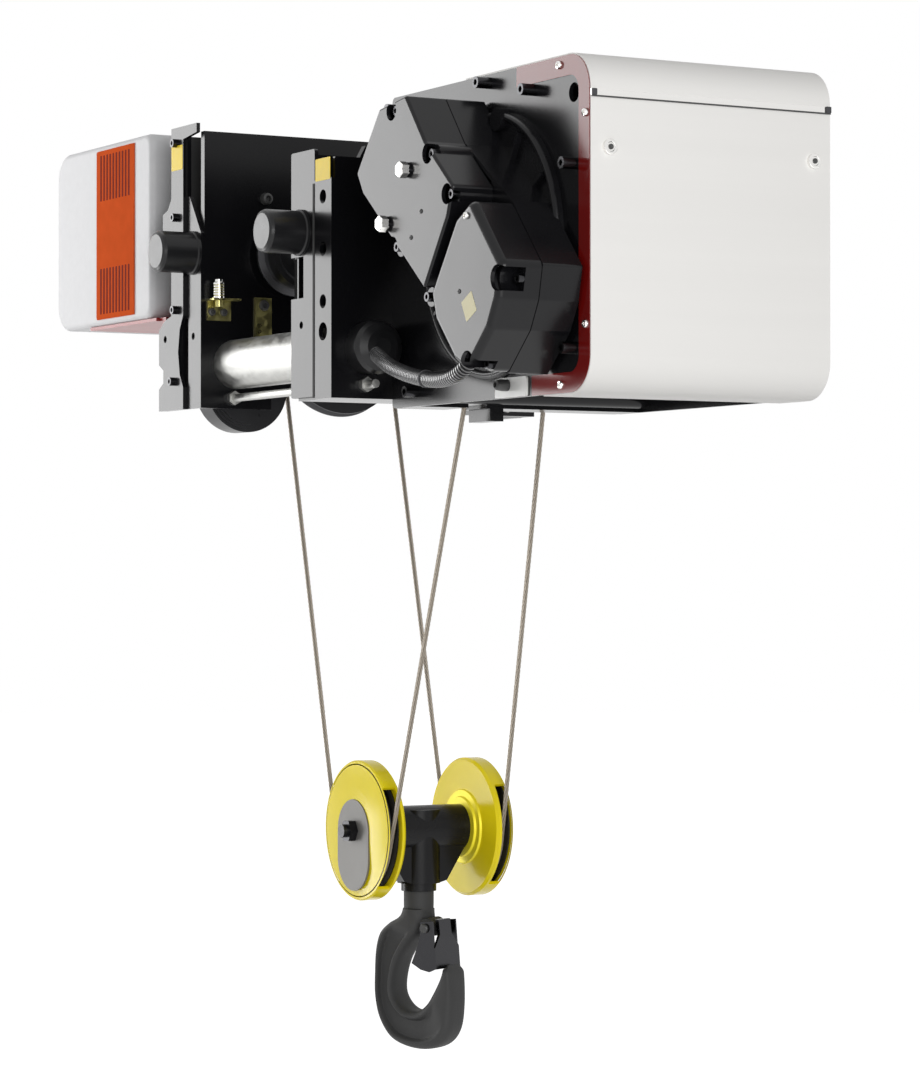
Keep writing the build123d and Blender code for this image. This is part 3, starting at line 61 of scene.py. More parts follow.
import bmesh
import bpy
import numpy as np
from bpy.props import FloatProperty, FloatVectorProperty, IntProperty, PointerProperty
from bpy.types import Operator, Panel, PropertyGroup
from mathutils import Euler, Vector

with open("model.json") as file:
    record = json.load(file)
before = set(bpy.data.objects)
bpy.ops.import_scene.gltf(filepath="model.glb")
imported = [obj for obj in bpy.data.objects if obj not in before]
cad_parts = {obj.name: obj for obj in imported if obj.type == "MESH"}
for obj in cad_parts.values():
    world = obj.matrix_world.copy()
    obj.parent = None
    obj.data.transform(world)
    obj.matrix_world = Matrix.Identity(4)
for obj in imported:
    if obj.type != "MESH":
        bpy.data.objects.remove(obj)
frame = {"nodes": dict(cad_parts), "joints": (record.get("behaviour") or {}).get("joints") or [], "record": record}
START_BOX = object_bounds()

SLOT_OF = {part["node"]: part["material_slot"] for part in frame["record"]["subparts"]}

RIGHT = (1, 0, 0)
ALONG = (0, 1, 0)
NEAR = (0, -1, 0)
UP = (0, 0, 1)


def middle(node):
    """Middle of a CAD node's box."""
    low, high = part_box(node)
    return (low + high) / 2


def joint_named(name):
    """The frame's own line on a joint."""
    return next(j for j in frame["joints"] if j["name"] == name)


# ---- sizes and colours ----
def length(name, text, value):
    """A length in metres."""
    return FloatProperty(name=name, description=text, default=value, min=0.0, unit="LENGTH",
                         subtype="DISTANCE")


def colour(name, text, value):
    """A colour as red, green and blue in linear light."""
    return FloatVectorProperty(name=name, description=text, default=value, min=0.0, max=1.0, size=3,
                               subtype="COLOR")


class HoistSizes(PropertyGroup):
    """Sizes of the pieces that are made here."""

    rope: length("Rope", "Outer diameter of the wire rope", 0.007)
    lay: length("Lay", "Length of one turn of a strand round the rope", 0.046)
    strands: IntProperty(name="Strands", description="Outer strands of the rope", default=6, min=3, max=9)
    conduit: length("Conduit", "Outer diameter of the ribbed conduit", 0.022)
    rib: length("Rib pitch", "Distance between two ribs of the conduit", 0.0062)
    rib_depth: length("Rib depth", "Depth of the valley between two ribs", 0.0042)
    hook_half: length("Hook half thickness", "Half the thickness of the forged hook", 0.027)
    tag: length("Tag thickness", "Thickness of a blank adhesive tag", 0.0004)


class HoistColours(PropertyGroup):
    """Colours of the finishes."""

    sheet: colour("Cover sheet", "Satin aluminium of the drum cover", (0.76, 0.75, 0.73))
    frame: colour("Frame black", "Paint of the pressed plates", (0.005, 0.005, 0.006))
    casting: colour("Casting black", "Paint of the gear unit", (0.006, 0.006, 0.007))
    edging: colour("Edging red", "Paint of the edging strip", (0.17, 0.005, 0.004))
    box: colour("Box silver", "Paint of the control box", (0.70, 0.70, 0.71))
    band: colour("Band orange", "Moulding round the control box", (0.62, 0.095, 0.024))
    block: colour("Block yellow", "Paint of the sheave covers", (0.86, 0.70, 0.006))
    rope: colour("Rope", "Greased steel wire", (0.115, 0.098, 0.078))
    zinc: colour("Zinc", "Zinc plated tubes and rods", (0.40, 0.40, 0.385))
    tag: colour("Warning yellow", "Blank adhesive tags", (0.85, 0.62, 0.01))


def sizes():
    """Sizes that the panel shows."""
    return bpy.context.scene.hoist_sizes


def colours():
    """Colours that the panel shows."""
    return bpy.context.scene.hoist_colours


# ---- shared effects ----
def new_group(name, inputs):
    """Empty shader node group: a vector and float inputs (name, default) in, Tone and Height out."""
    group = bpy.data.node_groups.new(name, "ShaderNodeTree")
    group.interface.new_socket("Vector", in_out="INPUT", socket_type="NodeSocketVector")
    for label, value in inputs:
        socket = group.interface.new_socket(label, in_out="INPUT", socket_type="NodeSocketFloat")
        socket.default_value = value
    for label in ("Tone", "Height"):
        group.interface.new_socket(label, in_out="OUTPUT", socket_type="NodeSocketFloat")
    start = group.nodes.new("NodeGroupInput")
    end = group.nodes.new("NodeGroupOutput")
    return group, start, end


def maths(tree, operation, first, second):
    """Math node of two values, each a socket or a number."""
    node = tree.nodes.new("ShaderNodeMath")
    node.operation = operation
    for slot, value in zip(node.inputs, (first, second)):
        if isinstance(value, (int, float)):
            slot.default_value = value
        else:
            tree.links.new(value, slot)
    return node.outputs[0]


def noise(tree, vector, scale, detail, rough=0.55):
    """Noise texture, its scale a socket or a number."""
    node = tree.nodes.new("ShaderNodeTexNoise")
    node.inputs["Detail"].default_value = detail
    node.inputs["Roughness"].default_value = rough
    tree.links.new(vector, node.inputs["Vector"])
    if isinstance(scale, (int, float)):
        node.inputs["Scale"].default_value = scale
    else:
        tree.links.new(scale, node.inputs["Scale"])
    return node.outputs["Fac"]


def connected(group, end, tone, height):
    """The group, with its two outputs connected."""
    group.links.new(tone, end.inputs["Tone"])
    group.links.new(height, end.inputs["Height"])
    return group


def layer(group, start, factor, detail, vector=None):
    """Noise at the effect's own scale times a factor."""
    scale = maths(group, "MULTIPLY", start.outputs["Scale"], factor)
    return noise(group, start.outputs["Vector"] if vector is None else vector, scale, detail)


def surface_grain():
    """Surface grain: a slow tone that varies over the piece and a fine height."""
    group, start, end = new_group("surface_grain", [("Scale", 300.0)])
    slow = layer(group, start, 0.03, 4.0)
    fine = noise(group, start.outputs["Vector"], start.outputs["Scale"], 3.0)
    return connected(group, end, slow, fine)


def brushed_lines():
    """Brushed or rolled metal: noise stretched along one axis by the Stretch vector's inverse."""
    group, start, end = new_group("brushed_lines", [("Scale", 900.0), ("Stretch", 40.0)])
    split = group.nodes.new("ShaderNodeSeparateXYZ")
    join = group.nodes.new("ShaderNodeCombineXYZ")
    group.links.new(start.outputs["Vector"], split.inputs[0])
    group.links.new(split.outputs["X"], join.inputs["X"])
    group.links.new(maths(group, "DIVIDE", split.outputs["Y"], start.outputs["Stretch"]), join.inputs["Y"])
    group.links.new(split.outputs["Z"], join.inputs["Z"])
    fine = noise(group, join.outputs[0], start.outputs["Scale"], 2.0)
    slow = layer(group, start, 0.02, 3.0, join.outputs[0])
    return connected(group, end, slow, fine)


def cell_pattern(group, start):
    """Cell pattern at the effect's own scale."""
    cells = group.nodes.new("ShaderNodeTexVoronoi")
    group.links.new(start.outputs["Vector"], cells.inputs["Vector"])
    group.links.new(start.outputs["Scale"], cells.inputs["Scale"])
    return cells


def cast_skin():
    """Cast or forged skin: coarse pits from a cell pattern added to noise."""
    group, start, end = new_group("cast_skin", [("Scale", 220.0)])
    cells = cell_pattern(group, start)
    rough = layer(group, start, 0.6, 5.0)
    slow = layer(group, start, 0.06, 3.0)
    pits = maths(group, "MULTIPLY", cells.outputs["Distance"], 0.5)
    return connected(group, end, slow, maths(group, "ADD", pits, rough))


def zinc_spangle():
    """Zinc spangle: one tone for each crystal cell."""
    group, start, end = new_group("zinc_spangle", [("Scale", 120.0)])
    cells = cell_pattern(group, start)
    split = group.nodes.new("ShaderNodeSeparateColor")
    group.links.new(cells.outputs["Color"], split.inputs[0])
    fine = layer(group, start, 4.0, 2.0)
    return connected(group, end, split.outputs["Red"], fine)


def strand_wires():
    """Wires of a strand, from the piece's own UV: slanted bands along the strand."""
    group, start, end = new_group("strand_wires", [("Scale", 1.0)])
    wave = group.nodes.new("ShaderNodeTexWave")
    wave.bands_direction = "DIAGONAL"
    wave.inputs["Distortion"].default_value = 0.6
    wave.inputs["Detail"].default_value = 1.0
    group.links.new(start.outputs["Vector"], wave.inputs["Vector"])
    group.links.new(start.outputs["Scale"], wave.inputs["Scale"])
    slow = layer(group, start, 0.6, 3.0)
    return connected(group, end, slow, wave.outputs["Fac"])


def finish(name, base, effect, scale, metallic=0.0, rough=0.4, rough_spread=0.08, tone=0.12, bump=0.05,
           bump_mm=0.1, specular=0.5, uv=False):
    """Material whose colour, roughness and bump vary with one shared effect. The effect is a function that
    makes the node group of its own name, and it is called where the file has no such group yet."""
    material = bpy.data.materials.new(name)
    material.use_nodes = True
    tree = material.node_tree
    shader = tree.nodes["Principled BSDF"]
    shader.inputs["Metallic"].default_value = metallic
    shader.inputs["Specular IOR Level"].default_value = specular
    where = tree.nodes.new("ShaderNodeTexCoord")
    group = tree.nodes.new("ShaderNodeGroup")
    group.node_tree = bpy.data.node_groups.get(effect.__name__) or effect()
    tree.links.new(where.outputs["UV" if uv else "Object"], group.inputs["Vector"])
    group.inputs["Scale"].default_value = scale
    ramp = tree.nodes.new("ShaderNodeMix")
    ramp.data_type = "RGBA"
    ramp.inputs["A"].default_value = (*[c * (1 - tone) for c in base], 1)
    ramp.inputs["B"].default_value = (*[min(1.0, c * (1 + tone)) for c in base], 1)
    tree.links.new(group.outputs["Tone"], ramp.inputs["Factor"])
    tree.links.new(ramp.outputs["Result"], shader.inputs["Base Color"])
    spread = maths(tree, "MULTIPLY", maths(tree, "SUBTRACT", group.outputs["Tone"], 0.5), 2 * rough_spread)
    tree.links.new(maths(tree, "ADD", spread, rough), shader.inputs["Roughness"])
    relief = tree.nodes.new("ShaderNodeBump")
    relief.inputs["Strength"].default_value = bump
    relief.inputs["Distance"].default_value = bump_mm / 1000
    tree.links.new(group.outputs["Height"], relief.inputs["Height"])
    tree.links.new(relief.outputs["Normal"], shader.inputs["Normal"])
    return material


def look(base, effect, scale, **changes):
    """What finish is called with, after the name."""
    return {"base": base, "effect": effect, "scale": scale, **changes}


def painted(base, rough=0.3, bump=0.10, specular=0.3):
    """Sprayed paint with slight orange peel."""
    return look(base, surface_grain, 420.0, rough=rough, rough_spread=0.04, tone=0.10, bump=bump,
                bump_mm=0.08, specular=specular)


def satin_sheet(base):
    """Anodised aluminium sheet with a faint rolling direction."""
    return look(base, brushed_lines, 1500.0, metallic=0.05, rough=0.50, rough_spread=0.03, tone=0.025,
                bump=0.06, bump_mm=0.02, specular=0.12)


def machined(base, rough=0.28):
    """Turned or milled steel."""
    return look(base, brushed_lines, 700.0, metallic=1.0, rough=rough, rough_spread=0.08, tone=0.12,
                bump=0.15, bump_mm=0.03)


def casting(base, rough=0.35, scale=260.0, bump=0.35, specular=0.3):
    """Painted casting or forging."""
    return look(base, cast_skin, scale, rough=rough, rough_spread=0.08, tone=0.18, bump=bump,
                bump_mm=0.25, specular=specular)


def zinc_plate(base, rough=0.34):
    """Zinc plating with its crystal tone."""
    return look(base, zinc_spangle, 140.0, metallic=1.0, rough=rough, rough_spread=0.08, tone=0.10,
                bump=0.08, bump_mm=0.03)


def moulded(base, rough=0.5, bump=0.25, specular=0.3):
    """Moulded rubber or plastic with a fine eroded texture."""
    return look(base, surface_grain, 1400.0, rough=rough, rough_spread=0.07, tone=0.12, bump=bump,
                bump_mm=0.05, specular=specular)


def rope_wire(base):
    """Greased wire strands."""
    return look(base, strand_wires, 2.2, metallic=0.85, rough=0.42, rough_spread=0.12, tone=0.30,
                bump=0.8, bump_mm=0.25, uv=True)


def make_finishes():
    """One finish for each of the record's slots, and a few more for the pieces made here."""
    tint = colours()
    looks = {
        "frame_black": painted(tint.frame, rough=0.20, specular=0.24),
        "cover_aluminium": satin_sheet(tint.sheet),
        "seam_metal": machined((0.80, 0.79, 0.77), rough=0.16),
        "edge_red": painted(tint.edging, rough=0.16, bump=0.03),
        "gear_black": painted(tint.casting, rough=0.22, bump=0.14, specular=0.26),
        "housing_black": casting(tint.casting, rough=0.26, scale=320.0, bump=0.16, specular=0.18),
        "steel_machined": machined((0.34, 0.34, 0.34)),
        "motor_grey": casting((0.020, 0.020, 0.022), rough=0.30, bump=0.18),
        "fastener_black": machined((0.045, 0.045, 0.048), rough=0.26),
        "galvanised": zinc_plate(tint.zinc, rough=0.42),
        "rubber_black": moulded((0.010, 0.010, 0.011), rough=0.30, bump=0.12),
        "plastic_black": moulded((0.008, 0.008, 0.009), rough=0.24, bump=0.06, specular=0.5),
        "box_silver": look(tint.box, surface_grain, 2600.0, rough=0.46, rough_spread=0.03, tone=0.05,
                           bump=0.10, bump_mm=0.02, specular=0.10),
        "band_orange": moulded(tint.band, rough=0.50, bump=0.06, specular=0.05),
        # Dull black that reflects nothing: painted shade in the conduit's rib valleys and in the middle plate's
        # notch.
        "painted_shade_black": moulded((0.002, 0.002, 0.002), rough=0.7, bump=0.05, specular=0.02),
        "rib_gloss": moulded((0.035, 0.035, 0.037), rough=0.22, bump=0.03, specular=0.9),
        "band_skin": moulded(tint.band, rough=0.6, bump=0.05, specular=0.0),
        # Band orange in shade, for the slot plates: painted shade of the slot openings.
        "band_shadow": moulded((0.16, 0.012, 0.006), rough=0.6, bump=0.05, specular=0.02),
        "base_red": painted((0.26, 0.010, 0.010), rough=0.30),
        "rope_steel": rope_wire(tint.rope),
        "wheel_iron": machined((0.10, 0.10, 0.105), rough=0.32),
        "sheave_iron": machined((0.05, 0.05, 0.052), rough=0.38),
        "block_yellow": painted(tint.block, rough=0.20, bump=0.03, specular=0.25),
        "plate_grey": look((0.15, 0.145, 0.135), surface_grain, 900.0, metallic=0.2, rough=0.46,
                           tone=0.08, bump=0.08),
        "hook_forged": casting((0.005, 0.005, 0.005), rough=0.22, scale=150.0, bump=0.9, specular=0.12),
        "zinc_yellow": zinc_plate((0.46, 0.42, 0.17)),
        "tag_yellow": moulded(tint.tag, rough=0.40, bump=0.04, specular=0.15),
        "tag_cream": moulded((0.66, 0.61, 0.38), rough=0.42, bump=0.04, specular=0.15),
        "tag_white": painted((0.78, 0.78, 0.76), rough=0.30, bump=0.04),
        "steel_bright": machined((0.80, 0.79, 0.77), rough=0.12),
    }
    return {name: finish(name, **arguments) for name, arguments in looks.items()}


# ---- meshes from arrays ----
def added(name, data):
    """New object of the scene."""
    piece = bpy.data.objects.new(name, data)
    bpy.context.scene.collection.objects.link(piece)
    return piece


def put_mesh(name, points, faces, material, body, smooth_deg=35.0, uv=None):
    """Mesh piece from an array of points and lists of corner numbers, riding on a body. Its faces are turned
    round where its signed volume is below zero, so that they point outward."""
    mesh = bpy.data.meshes.new(name)
    mesh.from_pydata(points.reshape(-1, 3).tolist(), [], faces)
    shell = bmesh.new()
    shell.from_mesh(mesh)
    if shell.calc_volume(signed=True) < 0:
        mesh.flip_normals()
    shell.free()
    if uv is not None:
        layer = mesh.uv_layers.new(name="UVMap")
        corners = np.empty(len(mesh.loops), np.int32)
        mesh.loops.foreach_get("vertex_index", corners)
        layer.data.foreach_set("uv", uv.reshape(-1, 2)[corners].astype(np.float32).ravel())
    mesh.polygons.foreach_set("use_smooth", np.ones(len(mesh.polygons), bool))
    mesh.set_sharp_from_angle(angle=math.radians(smooth_deg))
    mesh.materials.append(bpy.data.materials[material])
    piece = added(name, mesh)
    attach(piece, body)
    return piece


def grid_faces(rows, columns, start=0):
    """Corner numbers of a grid's quads: rows by columns, closed round the columns."""
    row = np.arange(rows - 1)[:, None]
    column = np.arange(columns)[None, :]
    after = (column + 1) % columns
    below = (row + 1) % rows
    quads = np.stack(np.broadcast_arrays(row * columns + column, row * columns + after,
                                         below * columns + after, below * columns + column), -1)
    return (quads.reshape(-1, 4) + start).tolist()


def closed_rings(rings):
    """Faces of a skin through rings of points, with a flat cap on the first and the last ring."""
    count, sides = rings.shape[:2]
    faces = grid_faces(count, sides)
    faces.append(list(range(sides))[::-1])
    faces.append(list(range((count - 1) * sides, count * sides)))
    return faces


def basis(axis):
    """An axis of unit length with two unit vectors square to it and to each other."""
    axis = np.asarray(axis, float) / np.linalg.norm(axis)
    side = np.array((0.0, 0.0, 1.0) if abs(axis[2]) < 0.9 else (1.0, 0.0, 0.0))
    first = side - axis * side.dot(axis)
    first /= np.linalg.norm(first)
    return axis, first, np.cross(axis, first)


def turned(name, origin, axis, profile, material, body, sides=48, smooth_deg=35.0):
    """Turned piece: the point at angle a is origin + axis * height + radius * (cos a, sin a) across it."""
    axis, first, second = basis(axis)
    radius, height = np.array(profile, float).T
    angle = np.linspace(0, 2 * math.pi, sides, endpoint=False)
    round_ = np.cos(angle)[:, None] * first + np.sin(angle)[:, None] * second
    rings = np.asarray(origin) + height[:, None, None] * axis + radius[:, None, None] * round_[None]
    return put_mesh(name, rings, closed_rings(rings), material, body, smooth_deg)


def plate_outline(width, height, radius, per_corner=8):
    """Outline of a rounded rectangle: four quarter arcs one after the other."""
    turn = np.linspace(0, math.pi / 2, per_corner)
    corners = [(1, 1, 0), (-1, 1, 1), (-1, -1, 2), (1, -1, 3)]
    arcs = []
    for sx, sy, quarter in corners:
        angle = turn + quarter * math.pi / 2
        arcs.append(np.stack([sx * (width / 2 - radius) + radius * np.cos(angle),
                              sy * (height / 2 - radius) + radius * np.sin(angle)], -1))
    return np.concatenate(arcs)


def plate(name, centre, across, up, size, thick, material, body, edge=0.0002):
    """Flat piece with a softened rim: rings of one outline, drawn in a little at the outer face. Its size is
    the width, the height and the radius of the corners."""
    outline = plate_outline(*size)
    across = np.asarray(across, float) / np.linalg.norm(across)
    up = np.asarray(up, float) / np.linalg.norm(up)
    out = np.cross(across, up)
    reach = np.abs(outline).max()
    shrink = 1 - edge / reach
    levels = [(0.0, 1.0), (thick - edge, 1.0), (thick, shrink)]
    rings = np.stack([np.asarray(centre) + out * level
                      + (outline[:, :1] * share) * across + (outline[:, 1:] * share) * up
                      for level, share in levels])
    return put_mesh(name, rings, closed_rings(rings), material, body, 30.0)


def distances(path):
    """Distance of each point of a path from the path's start, measured along it."""
    steps = np.linalg.norm(np.diff(path, axis=0), axis=1)
    return np.concatenate([[0], np.cumsum(steps)])


def even_path(path, count):
    """Even distances along a path, with the point and the unit direction of the path at each."""
    along = distances(path)
    s = np.linspace(0, along[-1], count)
    line = np.stack([np.interp(s, along, path[:, k]) for k in range(3)], -1)
    forward = np.gradient(line, axis=0)
    return s, line, forward / np.linalg.norm(forward, axis=1)[:, None]


# ---- ropes ----
SAMPLES_PER_LAY = 14
STRAND_SIDES = 8
# Strands are drawn this much thicker than a sixth of the rope, so that they touch.
STRAND_SWELL = 1.08
LEAN_ROUNDS = 20


def rope_mesh(name, path, square, body):
    """Laid rope along a path of points in one plane: strand k's centre line turns about the path at a third
    of the rope's diameter, by one turn each lay, and each strand is a tube of about a sixth of it."""
    rope = sizes().rope
    count = sizes().strands
    samples = max(8, int(distances(path)[-1] / sizes().lay * SAMPLES_PER_LAY))
    s, line, forward = even_path(path, samples)
    square = np.asarray(square, float) / np.linalg.norm(square)
    side = np.cross(forward, square)
    turn = 2 * math.pi * (s[None, :] / sizes().lay + np.arange(count)[:, None] / count)
    centre = line[None] + rope / 3 * (np.cos(turn)[..., None] * side + np.sin(turn)[..., None] * square)
    sides = STRAND_SIDES
    round_ = np.linspace(0, 2 * math.pi, sides, endpoint=False)
    ring = (np.cos(round_)[:, None] * side[:, None, :] + np.sin(round_)[:, None] * square)
    rings = centre[:, :, None, :] + rope / 6 * STRAND_SWELL * ring[None]
    faces = []
    for k in range(count):
        start = k * samples * sides
        faces += grid_faces(samples, sides, start)
        faces.append([start + i for i in range(sides)][::-1])
        faces.append([start + (samples - 1) * sides + i for i in range(sides)])
    uv = np.stack(np.broadcast_arrays(s[None, :, None] / rope, round_[None, None, :] / (2 * math.pi) * 3),
                  -1)
    uv = np.broadcast_to(uv, (count, samples, sides, 2))
    return put_mesh(name, rings, faces, "rope_steel", body, 60.0, uv)


def fall_ends(node):
    """Top, foot and lean of a leaning straight rope, from its box: the box is wider and higher than the
    centre line by the rope's round section, and a few rounds settle the lean."""
    low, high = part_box(node)
    rope = sizes().rope
    wide, tall = high.x - low.x, high.z - low.z
    lean = math.atan2(wide, tall)
    for _ in range(LEAN_ROUNDS):
        lean = math.atan2(wide - rope * math.cos(lean), tall - rope * math.sin(lean))
    inset_x = rope / 2 * math.cos(lean)
    inset_z = rope / 2 * math.sin(lean)
    y = (low.y + high.y) / 2
    side = 1 if (low.x + high.x) > 0 else -1
    top_x = high.x - inset_x if side > 0 else low.x + inset_x
    low_x = low.x + inset_x if side > 0 else high.x - inset_x
    return np.array((top_x, y, high.z - inset_z)), np.array((low_x, y, low.z + inset_z)), lean * side


def arc_points(centre, first, second, radius, start, end, count=64):
    """Arc: centre + radius * (first * cos a + second * sin a) from start to end, in radians."""
    a = np.linspace(start, end, count)
    return np.asarray(centre) + radius * (np.cos(a)[:, None] * first + np.sin(a)[:, None] * second)


class HOIST_OT_ropes(Operator):
    """Lays the four rope falls, and the rope round the return sheave and the hook sheaves"""

    bl_idname = "hoist.ropes"
    bl_label = "Lay the ropes"

    def execute(self, context):
        leans = {}
        for node in ("rope_fall_drum", "rope_fall_near", "rope_fall_far", "rope_fall_anchor"):
            top, bottom, leans[node] = fall_ends(node)
            path = np.linspace(top, bottom, 8)
            piece = rope_mesh(node.replace("rope_", "laid_"), path, ALONG, "frame")
            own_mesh(piece)
            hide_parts(node)
        self.wrap_return(leans["rope_fall_near"])
        self.wrap_block(leans)
        return {"FINISHED"}

    def wrap_return(self, lean):
        """Half turn over the return sheave, in the sheave's leaning plane."""
        top_near = fall_ends("rope_fall_near")[0]
        top_far = fall_ends("rope_fall_far")[0]
        centre = (top_near + top_far) / 2
        up = np.array((math.sin(lean), 0, math.cos(lean)))
        radius = np.linalg.norm(top_far - top_near) / 2
        path = arc_points(centre, np.array(ALONG), up, radius, 0, math.pi, 72)
        piece = rope_mesh("laid_return_wrap", path, np.cross(ALONG, up), "frame")
        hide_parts("rope_return_wrap")

    def wrap_block(self, leans):
        """Rope round the lower side of each hook sheave, between the points where the falls leave it."""
        pairs = (("rope_fall_drum", "rope_fall_near"), ("rope_fall_anchor", "rope_fall_far"))
        for k, (right, left) in enumerate(pairs):
            start = fall_ends(right)[1]
            end = fall_ends(left)[1]
            lean_right = abs(leans[right])
            radius = (start[0] - end[0]) / (math.cos(lean_right) + math.cos(abs(leans[left])))
            centre = start - radius * np.array((math.cos(lean_right), 0, -math.sin(lean_right)))
            path = arc_points(centre, np.array(RIGHT), np.array(UP), radius, -lean_right,
                              -math.pi + abs(leans[left]), 90)
            piece = rope_mesh(("laid_near_wrap", "laid_far_wrap")[k], path, ALONG, "hook_block")
            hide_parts("rope_block_wraps")


# ---- conduit ----
# Route of the conduit from the brake cover to the cap of the near cross tube.
CONDUIT_ROUTE = [(0.694, -0.296, -0.144), (0.668, -0.297, -0.170), (0.590, -0.289, -0.180),
                 (0.480, -0.273, -0.168), (0.390, -0.259, -0.150), (0.340, -0.250, -0.134),
                 (0.300, -0.243, -0.118)]
# Inset of the dull black core; the core shows in the valleys between the ribs as painted shade.
VALLEY_SHADE_INSET = 0.0024
SAMPLES_PER_RIB = 10
# Mean and swing of the rib wave before it is clipped to 0 and 1, which makes the ribs wide and flat.
RIB_MEAN = 0.8
RIB_SWING = 1.4
# Places of the end fitting and of the cable tie, as shares of the conduit's length.
NUT_SHARE = 0.02
TIE_SHARE = 0.42


def route_points(points):
    """Points of the smooth curve of order 3 that a route's points control."""
    curve = bpy.data.curves.new("route", "CURVE")
    curve.dimensions = "3D"
    spline = curve.splines.new("NURBS")
    spline.points.add(len(points) - 1)
    spline.points.foreach_set("co", np.c_[np.array(points), np.ones(len(points))].ravel())
    spline.order_u = 3
    spline.use_endpoint_u = True
    spline.resolution_u = 24
    holder = bpy.data.objects.new("route", curve)
    mesh = bpy.data.meshes.new_from_object(holder)
    line = np.array([v.co for v in mesh.vertices])
    bpy.data.objects.remove(holder)
    bpy.data.curves.remove(curve)
    bpy.data.meshes.remove(mesh)
    return line


class HOIST_OT_conduit(Operator):
    """Makes the ribbed conduit over a dull black core that shows in the valleys between the ribs as painted shade,
    with its cable tie and its end fitting: radius = half the diameter less the rib depth times one minus the
    clipped cosine of the place along the rib"""

    bl_idname = "hoist.conduit"
    bl_label = "Run the conduit"

    def execute(self, context):
        line = route_points(CONDUIT_ROUTE)
        outer = sizes().conduit / 2
        count = int(distances(line)[-1] / sizes().rib) * SAMPLES_PER_RIB + 1
        path, forward = even_path(line, count)[1:]
        side = np.cross(forward, ALONG)
        side /= np.linalg.norm(side, axis=1)[:, None]
        over = np.cross(forward, side)
        phase = (np.arange(count) % SAMPLES_PER_RIB) / SAMPLES_PER_RIB
        rib = np.clip(RIB_MEAN + RIB_SWING * np.cos(2 * math.pi * phase), 0, 1)
        radius = outer - sizes().rib_depth * (1 - rib)
        angle = np.linspace(0, 2 * math.pi, 28, endpoint=False)
        ring = np.cos(angle)[None, :, None] * side[:, None] + np.sin(angle)[None, :, None] * over[:, None]
        # The dull core shows in the valleys between the ribs: painted shade.
        rings = path[:, None] + (outer - VALLEY_SHADE_INSET) * ring
        put_mesh("conduit_valley_shade", rings, closed_rings(rings), "painted_shade_black", "frame", 75.0)
        rings = path[:, None] + radius[:, None, None] * ring
        piece = put_mesh("ribbed_conduit", rings, closed_rings(rings), "rib_gloss", "frame",
                         75.0)
        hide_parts("conduit")
        nut = [(0.002, -0.006), (outer + 0.004, -0.006), (outer + 0.006, -0.004), (outer + 0.006, 0.007),
               (outer + 0.003, 0.010), (0.002, 0.010)]
        tie = [(0.002, -0.0024), (outer + 0.0004, -0.0024), (outer + 0.0014, -0.0024),
               (outer + 0.0014, 0.0024), (outer + 0.0004, 0.0024), (0.002, 0.0024)]
        for name, share, profile, sides in (("conduit_nut", NUT_SHARE, nut, 8),
                                            ("conduit_tie", TIE_SHARE, tie, 36)):
            k = int(share * (count - 1))
            turned(name, path[k], forward[k], profile, "plastic_black", "frame", sides)
        return {"FINISHED"}


# ---- hook ----
# Stations round the hook, each an outer and an inner point (across, height) of the section there, in
# millimetres, across measured from the shank's axis in the hook's own plane.
HOOK_STATIONS = [((-23, -921.5), (23, -921.5)), ((-23, -938), (23, -938)), ((-23.5, -951), (22.5, -952)),
                 ((-29, -962), (21, -966)), ((-46, -972), (12, -985)), ((-62, -987), (-7, -1004)),
                 ((-69, -1012), (-24, -1028)), ((-70.5, -1048), (-33.5, -1056)), ((-70, -1084), (-34, -1078)),
                 ((-62, -1118), (-24, -1093)), ((-42, -1146), (-10, -1101.5)), ((-13, -1158.5), (3, -1103)),
                 ((22, -1161), (16, -1099.5)), ((52, -1152), (29, -1088)), ((69, -1131), (38, -1074)),
                 ((74.5, -1098), (47, -1059)), ((74, -1062), (55, -1044)), ((70, -1030), (60, -1031))]
HOOK_SMOOTH = 9
# Where along the hook its section changes, as shares of its stations.
BODY_START, BODY_FULL = 0.10, 0.24
RECESS_START, RECESS_FULL, RECESS_FADE, RECESS_END = 0.22, 0.30, 0.70, 0.84
TIP_START = 0.975
# How much the tip narrows and thins, how square the body's section is, and how deep its sides are recessed.
TIP_NARROW, TIP_THIN = 0.45, 0.38
SQUARENESS = 0.42
RECESS_DEPTH = 0.42


def smooth_rows(rows, per_step):
    """Catmull-Rom curve through rows of values: each span is a cubic with slopes from its two neighbours."""
    rows = np.asarray(rows, float)
    padded = np.concatenate([2 * rows[:1] - rows[1:2], rows, 2 * rows[-1:] - rows[-2:-1]])
    t = np.linspace(0, 1, per_step, endpoint=False)[None, :, None]
    a, b, c, d = (padded[k:len(rows) - 1 + k, None] for k in range(4))
    spans = 0.5 * (2 * b + (c - a) * t + (2 * a - 5 * b + 4 * c - d) * t ** 2
                   + (3 * b - a - 3 * c + d) * t ** 3)
    return np.concatenate([spans.reshape(-1, rows.shape[1]), rows[-1:]])


def soft_step(x, low, high):
    """Smooth step from 0 at low to 1 at high."""
    t = np.clip((x - low) / (high - low), 0, 1)
    return t * t * (3 - 2 * t)


def hook_plane():
    """Direction across the hook and its thickness direction, from the latch hinge."""
    thick = np.array(joint_named("latch_hinge")["axis"], float)
    return np.cross(thick, UP), thick


